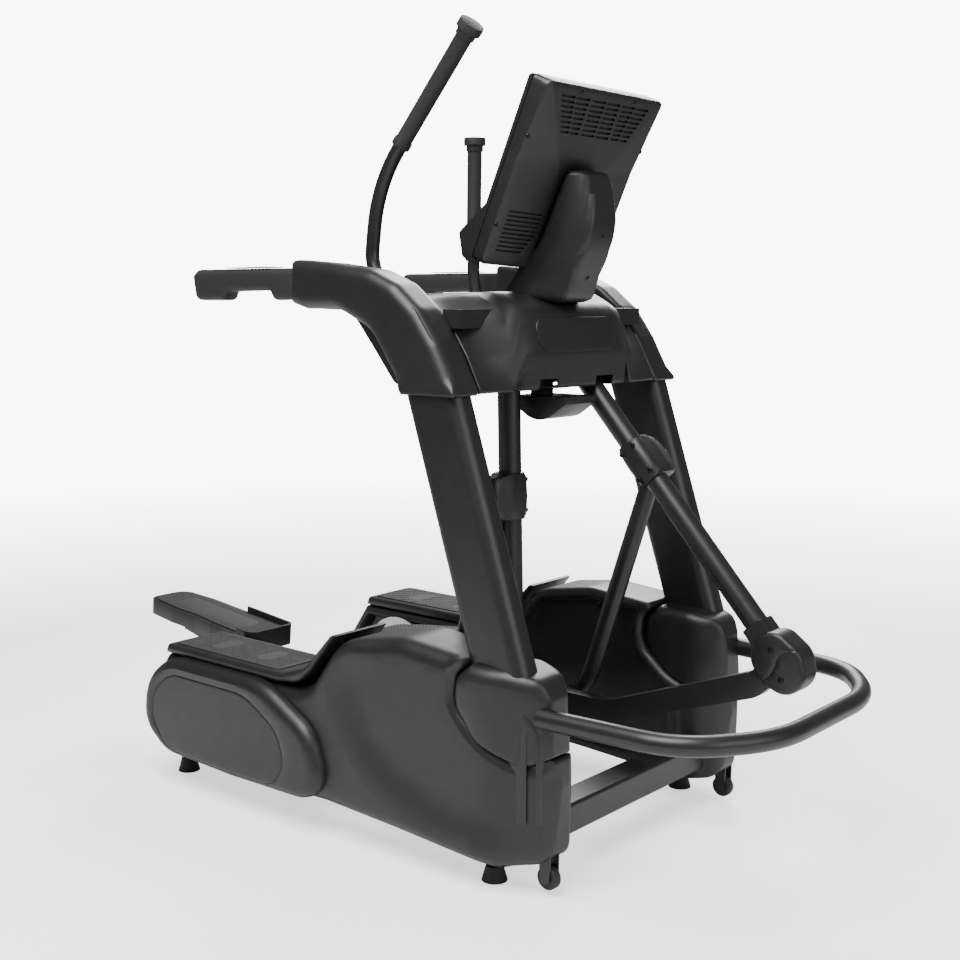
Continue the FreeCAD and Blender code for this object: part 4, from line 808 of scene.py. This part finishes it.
def make_bridge():
    """Curved bridge cover with openings for the rockers, handles, hub and mast."""
    stations = [-0.3125, -0.311, -0.307, -0.30, -0.285, -0.265, -0.24, -0.21, -0.18, -0.15, -0.10, -0.05, 0]
    stations += [-x for x in reversed(stations[:-1])]
    outer = [bridge_ring(x, 0.0015 if abs(x) > 0.312 else 0) for x in stations]
    piece = loft("bridge_cover", SHELL, outer)
    hollow = loft("bridge_hollow", SHELL_PAINTED_SHADE, [bridge_ring(x, 0.004) for x in stations[2:-2]])
    y = DATUM / 1000
    tools = [hollow,
             box_tool((-0.070, y + 0.150, 0.90), (0.070, y + 0.260, 1.0)),
             box_tool((-0.032, y + 0.150, 1.14), (0.032, y + 0.215, 1.24))]
    for _, side in SIDES:
        low, high = across(side, 0.068, 0.132)
        tools.append(box_tool((low, y + 0.060, 0.90), (high, y + 0.125, 1.004)))
        tools.append(box_tool((low, y + 0.120, 0.90), (high, y + 0.285, 1.030)))
        low, high = across(side, 0.2285, 0.2745)
        tools.append(box_tool((low, y + 0.300, 1.0), (high, y + 0.600, 1.24)))
        for place in (0.285, 0.315):
            tools.append(box_tool((side * 0.20 - 0.011, y + place, 1.178),
                                  (side * 0.20 + 0.011, y + place + 0.008, 1.20)))
    cut_with(piece, tools)
    settle(piece, "root", "shell_plastic", "bridge_front_shell", "bridge_rear_shell")

    panel = outline([(-135, 1058, 40), (135, 1058, 40), (150, 1134, 36), (-150, 1134, 36)])
    # The seam frame is darker than the shell round it: painted shade standing in for the gap round the
    # panel.
    ring = loft("panel_seam", SHELL_PAINTED_SHADE, panel_rings(panel))
    settle(ring, "root", "shell_plastic")
    plate = relief("access_plate", SHELL, offset_rows(panel, (0.0012,), True)[0],
                   lambda x, z, h: (x, bridge_front(x, z) - h, z),
                   lambda flat, far: 0.0016 - round_edge(far, 0.0015), lambda flat, far: np.full(len(flat),
                                                                                                 -0.002),
                   bands=(0.0006, 0.0015), walls=1)
    settle(plate, "root", "shell_plastic", "access_panel")


def bridge_front(x, z):
    """Y of the bridge cover's front face at an X and a height."""
    ring = bridge_ring(float(x), 0)
    front = ring[ring[:, 1] < (DATUM + 200) / 1000]
    front = front[front[:, 2].argsort()]
    return float(np.interp(z, front[:, 2], front[:, 1]))


def panel_rings(panel):
    """Thin frame in a darker copy of the shell plastic, painted shade that shows as the seam round the
    access panel.
    """
    outer = offset_rows(panel, (-0.0012,), True)[0]
    rows = []
    for line, lift in ((outer, -0.0002), (outer, 0.0004), (panel, 0.0004), (panel, -0.0002)):
        rows.append(np.array([(p[0], bridge_front(p[0], p[1]) - lift, p[1]) for p in line]))
    return [np.array(r) for r in zip(*rows)] + [np.array([r[0] for r in rows])]


CONSOLE_LEAN = math.radians(24.5)
CONSOLE_Y = (DATUM + 200) / 1000
CONSOLE_Z = 1.239


def console_place(x, t, h):
    """Point on the console: across, up its back, and outward from its back."""
    return (x, CONSOLE_Y - t * math.sin(CONSOLE_LEAN) - h * math.cos(CONSOLE_LEAN),
            CONSOLE_Z + t * math.cos(CONSOLE_LEAN) - h * math.sin(CONSOLE_LEAN))


def console_height(flat, far):
    """Faceted back: a middle panel that narrows downward, and two falling flanks."""
    x = np.abs(flat[:, 0])
    edge = 0.078 + 0.115 * np.clip((flat[:, 1] - 0.225) / 0.165, 0, 1)
    slope = np.clip((x - edge) / 0.12, 0, 1)
    return 0.012 - 0.015 * slope - round_edge(far, 0.007)


def slot(x, t, width, height):
    """Round-ended slot outline on the console's back; metres."""
    return outline([(1000 * (x - width / 2), 1000 * (t - height / 2), 450 * height),
                    (1000 * (x + width / 2), 1000 * (t - height / 2), 450 * height),
                    (1000 * (x + width / 2), 1000 * (t + height / 2), 450 * height),
                    (1000 * (x - width / 2), 1000 * (t + height / 2), 450 * height)], 0.003)


def console_slots():
    """Vent slots: a wide grille near the top and a small one at each lower corner."""
    made = []
    for row in range(8):
        t = 0.3725 - 0.0102 * row
        half = 0.155 - 0.0052 * row
        for low, high in ((-half, -0.0575), (-0.0495, 0.0495), (0.0575, half)):
            middle = (low + high) / 2
            for a, b in ((low, middle - 0.0018), (middle + 0.0018, high)):
                made.append(slot((a + b) / 2, t, b - a, 0.0052))
    for row in range(10):
        t = 0.122 - 0.0095 * row
        inner = 0.082 + 0.006 * max(0, row - 5)
        for side in (1, -1):
            made.append(slot(side * (inner + 0.178) / 2, t, 0.178 - inner, 0.0048))
    return made


def make_console():
    """Back of the console, with its vents and screws, and the cover of its neck."""
    edge = outline([(-204.5, 1, 14), (204.5, 1, 14), (204.5, 397, 14), (-204.5, 397, 14)], 0.008)
    ridges = [trace([(side * 78, 8), (side * 78, 225), (side * 193, 390)], 0.008) for side in (1, -1)]
    rows = [line for ridge in ridges for line in offset_rows(ridge, (-0.003, 0.0, 0.003), False)]
    back = relief("console_shell", SHELL, edge, console_place, console_height,
                  lambda flat, far: -0.0335 + round_edge(far, 0.002), bands=(0.0012, 0.003,
                                                                             0.006), rows=rows,
                  holes=console_slots(), depth=0.005, spacing=0.012, walls=2, sharp=22)
    settle(back, "root", "shell_plastic", "console_back")
    heads = []
    for x, t in ((0.094, 0.385), (0.199, 0.28), (0.199, 0.09)):
        for side in (1, -1):
            flat = np.array([[side * x, t]])
            lift = float(console_height(flat, np.array([0.005 if x > 0.19 else 0.012]))[0])
            heads.append((console_place(side * x, t, lift), console_place(0, 0, 1), console_place(0, 0, 0)))
    for i, (place, far_end, near_end) in enumerate(heads):
        axis = (Vector(far_end) - Vector(near_end)).normalized()
        settle(screw_head(f"console_screw_{i}", place, axis, 0.0042), "root", "screw_black")

    sections = [(1438, 66, 38, 86, 60), (1432, 54, 42, 92, 65), (1390, 42, 44, 112, 70),
                (1334, 31, 45, 136, 72),
                (1290, 42, 45, 158, 74), (1262, 55, 46, 185, 76), (1235, 69, 46, 216, 79), (1205, 84, 48,
                                                                                            236, 84),
                (1180, 95, 50, 246, 92), (1160, 103, 52, 240, 96)]
    rings = []
    for z, front, half, rear, rear_half in sections:
        side_y = front + 0.55 * (rear - front)
        side_half = half + 0.72 * (rear_half - half)
        ring = outline([(front + DATUM, -half, 5), (front + DATUM, half, 5),
                        (side_y + DATUM, side_half, 60),
                        (rear + DATUM, rear_half, 8), (rear + DATUM, -rear_half, 8),
                        (side_y + DATUM, -side_half, 60)], 0.003)
        ring = resample(ring, 96)
        rings.append(np.stack([ring[:, 1], ring[:, 0], np.full(len(ring), z / 1000)], 1))
    neck = loft("neck_shell", SHELL, rings, sharp=30)
    smooth = neck.modifiers.new("smooth", "SUBSURF")
    smooth.levels = smooth.render_levels = 1
    settle(neck, "root", "shell_plastic", "neck_cover")
    for i, (y, z, lean) in enumerate(((0.041, 1.300, 0.35), (0.079, 1.215, 0.45))):
        settle(screw_head(f"neck_screw_{i}", (0, y + DATUM / 1000, z), Vector((0, -1, -lean)).normalized(),
                          0.0048),
               "root", "screw_black")


def screw_head(name, place, axis, radius):
    """Pan screw head in a shallow recess, with a round socket."""
    turn = axis.to_track_quat("Z", "Y").to_matrix()
    centre = Vector(place)

    def put(along, a, b):
        return centre + turn @ Vector((a, b, along))

    profile = [(-0.003, radius * 1.18), (0.0003, radius * 1.18), (0.0006, radius * 1.08),
               (-0.0004, radius * 1.0),
               (0.0010, radius * 0.92), (0.0016, radius * 0.70), (0.0017, radius * 0.45), (-0.0006,
                                                                                           radius * 0.42)]
    return spin(name, SCREW, profile, put, segments=24)


LEFT_ROCKER_LEAN = 42.02
RIGHT_ROCKER_LEAN = 1.21
AXLE_BACK = 199.5
AXLE_HEIGHT = 1.069
TUBE_SET_BACK = 0.0148
JOINT_DROP = 0.841
CLAMP_DROP = 0.322


def rocker_frame(side, drop):
    """Placer in a rocker's own frame: behind the tube's line, up it, and across; drop is below the axle."""
    lean = math.radians(LEFT_ROCKER_LEAN if side > 0 else RIGHT_ROCKER_LEAN)
    y0 = (DATUM + AXLE_BACK) / 1000

    def place(u, v, x):
        u = u + TUBE_SET_BACK
        v = v - drop
        return (side * x, y0 + u * math.cos(lean) + v * math.sin(lean),
                AXLE_HEIGHT - u * math.sin(lean) + v * math.cos(lean))
    return place


def make_rocker_covers():
    """Covers of the foot-bar joints and clamp covers of the link joints."""
    egg = outline([(-46, 48, 40), (0, 72, 45), (47, 42, 45), (58, -14, 50), (28, -70, 45), (-30, -70, 45),
                   (-60, -16, 50)], 0.004)
    groove = trace([(-62, -6), (-40, 2), (-16, 4), (8, -8), (34, -14), (62, -8)], 0.004)
    rows = offset_rows(groove, (-0.0022, -0.0008, 0.0, 0.0008, 0.0022), False)

    def outboard(flat, far):
        return 0.1375 - round_edge(far, 0.016)

    def inboard(flat, far):
        cut = 0.0018 * np.clip(1 - reach_to(flat, groove, False)[0] / 0.0016, 0, 1)
        crown = 0.004 * ease(far, 0.0, 0.05)
        return 0.0665 + round_edge(far, 0.010) - crown + cut

    for label, side in SIDES:
        place = rocker_frame(side, JOINT_DROP)
        cover = relief(f"{label}_joint_egg", SHELL, egg, place, outboard, inboard, back_rows=rows,
                       bands=(0.001, 0.003, 0.006, 0.010, 0.016), spacing=0.009, walls=6)
        settle(cover, f"{label}_rocker", "shell_plastic", f"{label}_joint_cover")
        for i, (u, v) in enumerate(((-0.012, 0.026), (0.008, -0.034))):
            head = screw_head(f"{label}_joint_screw_{i}", place(u, v, 0.0632), Vector((-side, 0, 0)),
                              0.0055)
            settle(head, f"{label}_rocker", "screw_black")
        clamp_place = rocker_frame(side, CLAMP_DROP)
        rings = []
        for v, grow, wing in ((0.052, -0.006, 0.1), (0.050, -0.001, 0.3), (0.044, 0.001, 0.72),
                              (0.028, 0.002, 0.96),
                              (0.0, 0.003, 1.0), (-0.026, 0.002, 0.97), (-0.042, 0.001, 0.8), (-0.050,
                                                                                               -0.001, 0.45),
                              (-0.052, -0.006, 0.2)):
            radius = 30 + grow * 1000
            reach = 100 + radius + 44 * wing
            ring = outline([(100 - radius, -radius, 22), (100 + radius * 0.9, -radius, 20),
                            (reach, -20, 12),
                            (reach, 16, 12), (100 + radius * 0.9, radius, 20), (100 - radius, radius,
                                                                                22)], 0.003)
            ring = resample(ring, 96)
            rings.append(np.array([clamp_place(u, v, x) for x, u in ring]))
        clamp = loft(f"{label}_clamp_shell", SHELL, rings)
        settle(clamp, f"{label}_rocker", "shell_plastic", f"{label}_clamp_cover")
        for i, (u, v) in enumerate(((-0.018, 0.034), (0.018, 0.034), (-0.018, -0.034), (0.018, -0.034))):
            head = screw_head(f"{label}_clamp_screw_{i}", clamp_place(u, v, 0.0668), Vector((-side, 0, 0)),
                              0.0045)
            settle(head, f"{label}_rocker", "screw_black")


def make_pedal_ribs():
    """Diagonal tread ribs on the pedal mats."""
    for label, side in SIDES:
        mesh = nodes[f"{label}_pedal_mat"].data
        tops = [p for p in mesh.polygons if p.normal.z > 0.9]
        spots = np.array([mesh.vertices[i].co[:] for p in tops for i in p.vertices])
        slope, height = np.polyfit(spots[:, 1], spots[:, 2], 1)
        low, high = spots.min(0), spots.max(0)
        middle = 500 * (low[0] + high[0])
        rim = outline([(1000 * low[0] + 5, 1000 * low[1] + 5, 24),
                       (1000 * high[0] - 5, 1000 * low[1] + 5, 24),
                       (1000 * high[0] - 5, 1000 * high[1] - 5, 24), (1000 * low[0] + 5,
                                                                      1000 * high[1] - 5, 24)])
        patch = outline([(middle - 34, 1000 * low[1] + 70, 22), (middle + 34, 1000 * low[1] + 70, 22),
                         (middle + 34, 1000 * high[1] - 70, 22), (middle - 34, 1000 * high[1] - 70, 22)])
        runs = rib_runs(rim, [patch], math.radians(side * 48), 0.009)
        ribs = rib_mesh(f"{label}_pedal_ribs", MAT, runs, 0.0042, 0.0012,
                        lambda x, y, h: (x, y, slope * y + height + h))
        settle(ribs, f"{label}_foot", "mat_rubber")


def make_housing_screws():
    """Cover screws on the housings' inner rims."""
    for label, side in SIDES:
        for i, (y, z, x) in enumerate(((221, 436, 0.2575), (430, 418, 0.262), (20, 250, 0.2575), (560, 305,
                                                                                                  0.262),
                                       (700, 304, 0.2575), (-40, 402, 0.2755), (-34, 316, 0.272))):
            place = (side * x, (DATUM + y) / 1000, z / 1000)
            axis = Vector((-side, -0.6 if y < 0 else 0, 0)).normalized()
            settle(screw_head(f"{label}_housing_screw_{i}", place, axis, 0.0055), "root", "screw_black",
                   "cover_screws")


make_bridge()
make_console()
make_rocker_covers()
make_pedal_ribs()
make_housing_screws()


# ------------------------------------------------------------------ studio

def area_light(name, place, target, size, power):
    """Softbox that faces a target."""
    data = bpy.data.lights.new(name, "AREA")
    data.shape = "RECTANGLE"
    data.size = size[0]
    data.size_y = size[1]
    data.energy = power
    light = bpy.data.objects.new(name, data)
    bpy.context.scene.collection.objects.link(light)
    light.location = place
    light.rotation_mode = "QUATERNION"
    light.rotation_quaternion = (Vector(target) - Vector(place)).to_track_quat("-Z", "Y")


def make_studio():
    """Pale floor that fades into a pale background, under soft lights."""
    world = bpy.data.worlds.new("studio")
    world.use_nodes = True
    bpy.context.scene.world = world
    tree = world.node_tree
    lighting = tree.nodes["Background"]
    lighting.inputs["Color"].default_value = (1, 1, 1, 1)
    lighting.inputs["Strength"].default_value = WORLD_LIGHT
    shown = tree.nodes.new("ShaderNodeBackground")
    shown.inputs["Color"].default_value = (1, 1, 1, 1)
    shown.inputs["Strength"].default_value = WORLD_SHOWN
    path = tree.nodes.new("ShaderNodeLightPath")
    mix = tree.nodes.new("ShaderNodeMixShader")
    tree.links.new(path.outputs["Is Camera Ray"], mix.inputs["Fac"])
    tree.links.new(lighting.outputs[0], mix.inputs[1])
    tree.links.new(shown.outputs[0], mix.inputs[2])
    tree.links.new(mix.outputs[0], tree.nodes["World Output"].inputs["Surface"])

    mesh = bpy.data.meshes.new("floor")
    shape = bmesh.new()
    bmesh.ops.create_circle(shape, cap_ends=True, segments=96, radius=FLOOR_RADIUS)
    shape.to_mesh(mesh)
    shape.free()
    floor = bpy.data.objects.new("floor", mesh)
    bpy.context.scene.collection.objects.link(floor)
    material, tree, shader, coords = new_material("studio_floor")
    mesh.materials.append(material)
    shader.inputs["Base Color"].default_value = (0.9, 0.9, 0.9, 1)
    shader.inputs["Roughness"].default_value = 0.8
    shader.inputs["Specular IOR Level"].default_value = 0.2
    seen = tree.nodes.new("ShaderNodeLightPath")
    lift = tree.nodes.new("ShaderNodeMath")
    lift.operation = "MULTIPLY"
    lift.inputs[1].default_value = FLOOR_LIFT
    tree.links.new(seen.outputs["Is Camera Ray"], lift.inputs[0])
    shader.inputs["Emission Color"].default_value = (1, 1, 1, 1)
    tree.links.new(lift.outputs[0], shader.inputs["Emission Strength"])
    length = tree.nodes.new("ShaderNodeVectorMath")
    length.operation = "LENGTH"
    tree.links.new(coords, length.inputs[0])
    fade = spread(tree, length.outputs["Value"], 1, 0, 2.2, FLOOR_RADIUS)
    tree.links.new(fade, shader.inputs["Alpha"])


WORLD_LIGHT = 0.24
WORLD_SHOWN = 9.0
FLOOR_RADIUS = 6.0
FLOOR_LIFT = 1.2

make_camera()
make_studio()
area_light("key", (-2.0, -0.6, 4.0), (0, 0, 0.7), (2.6, 2.6), 300)
area_light("rim", (2.6, 1.2, 2.8), (0, 0, 0.8), (1.6, 2.4), 190)
area_light("front", (-0.5, -4.0, 2.0), (0, 0, 0.8), (2.5, 2.0), 50)
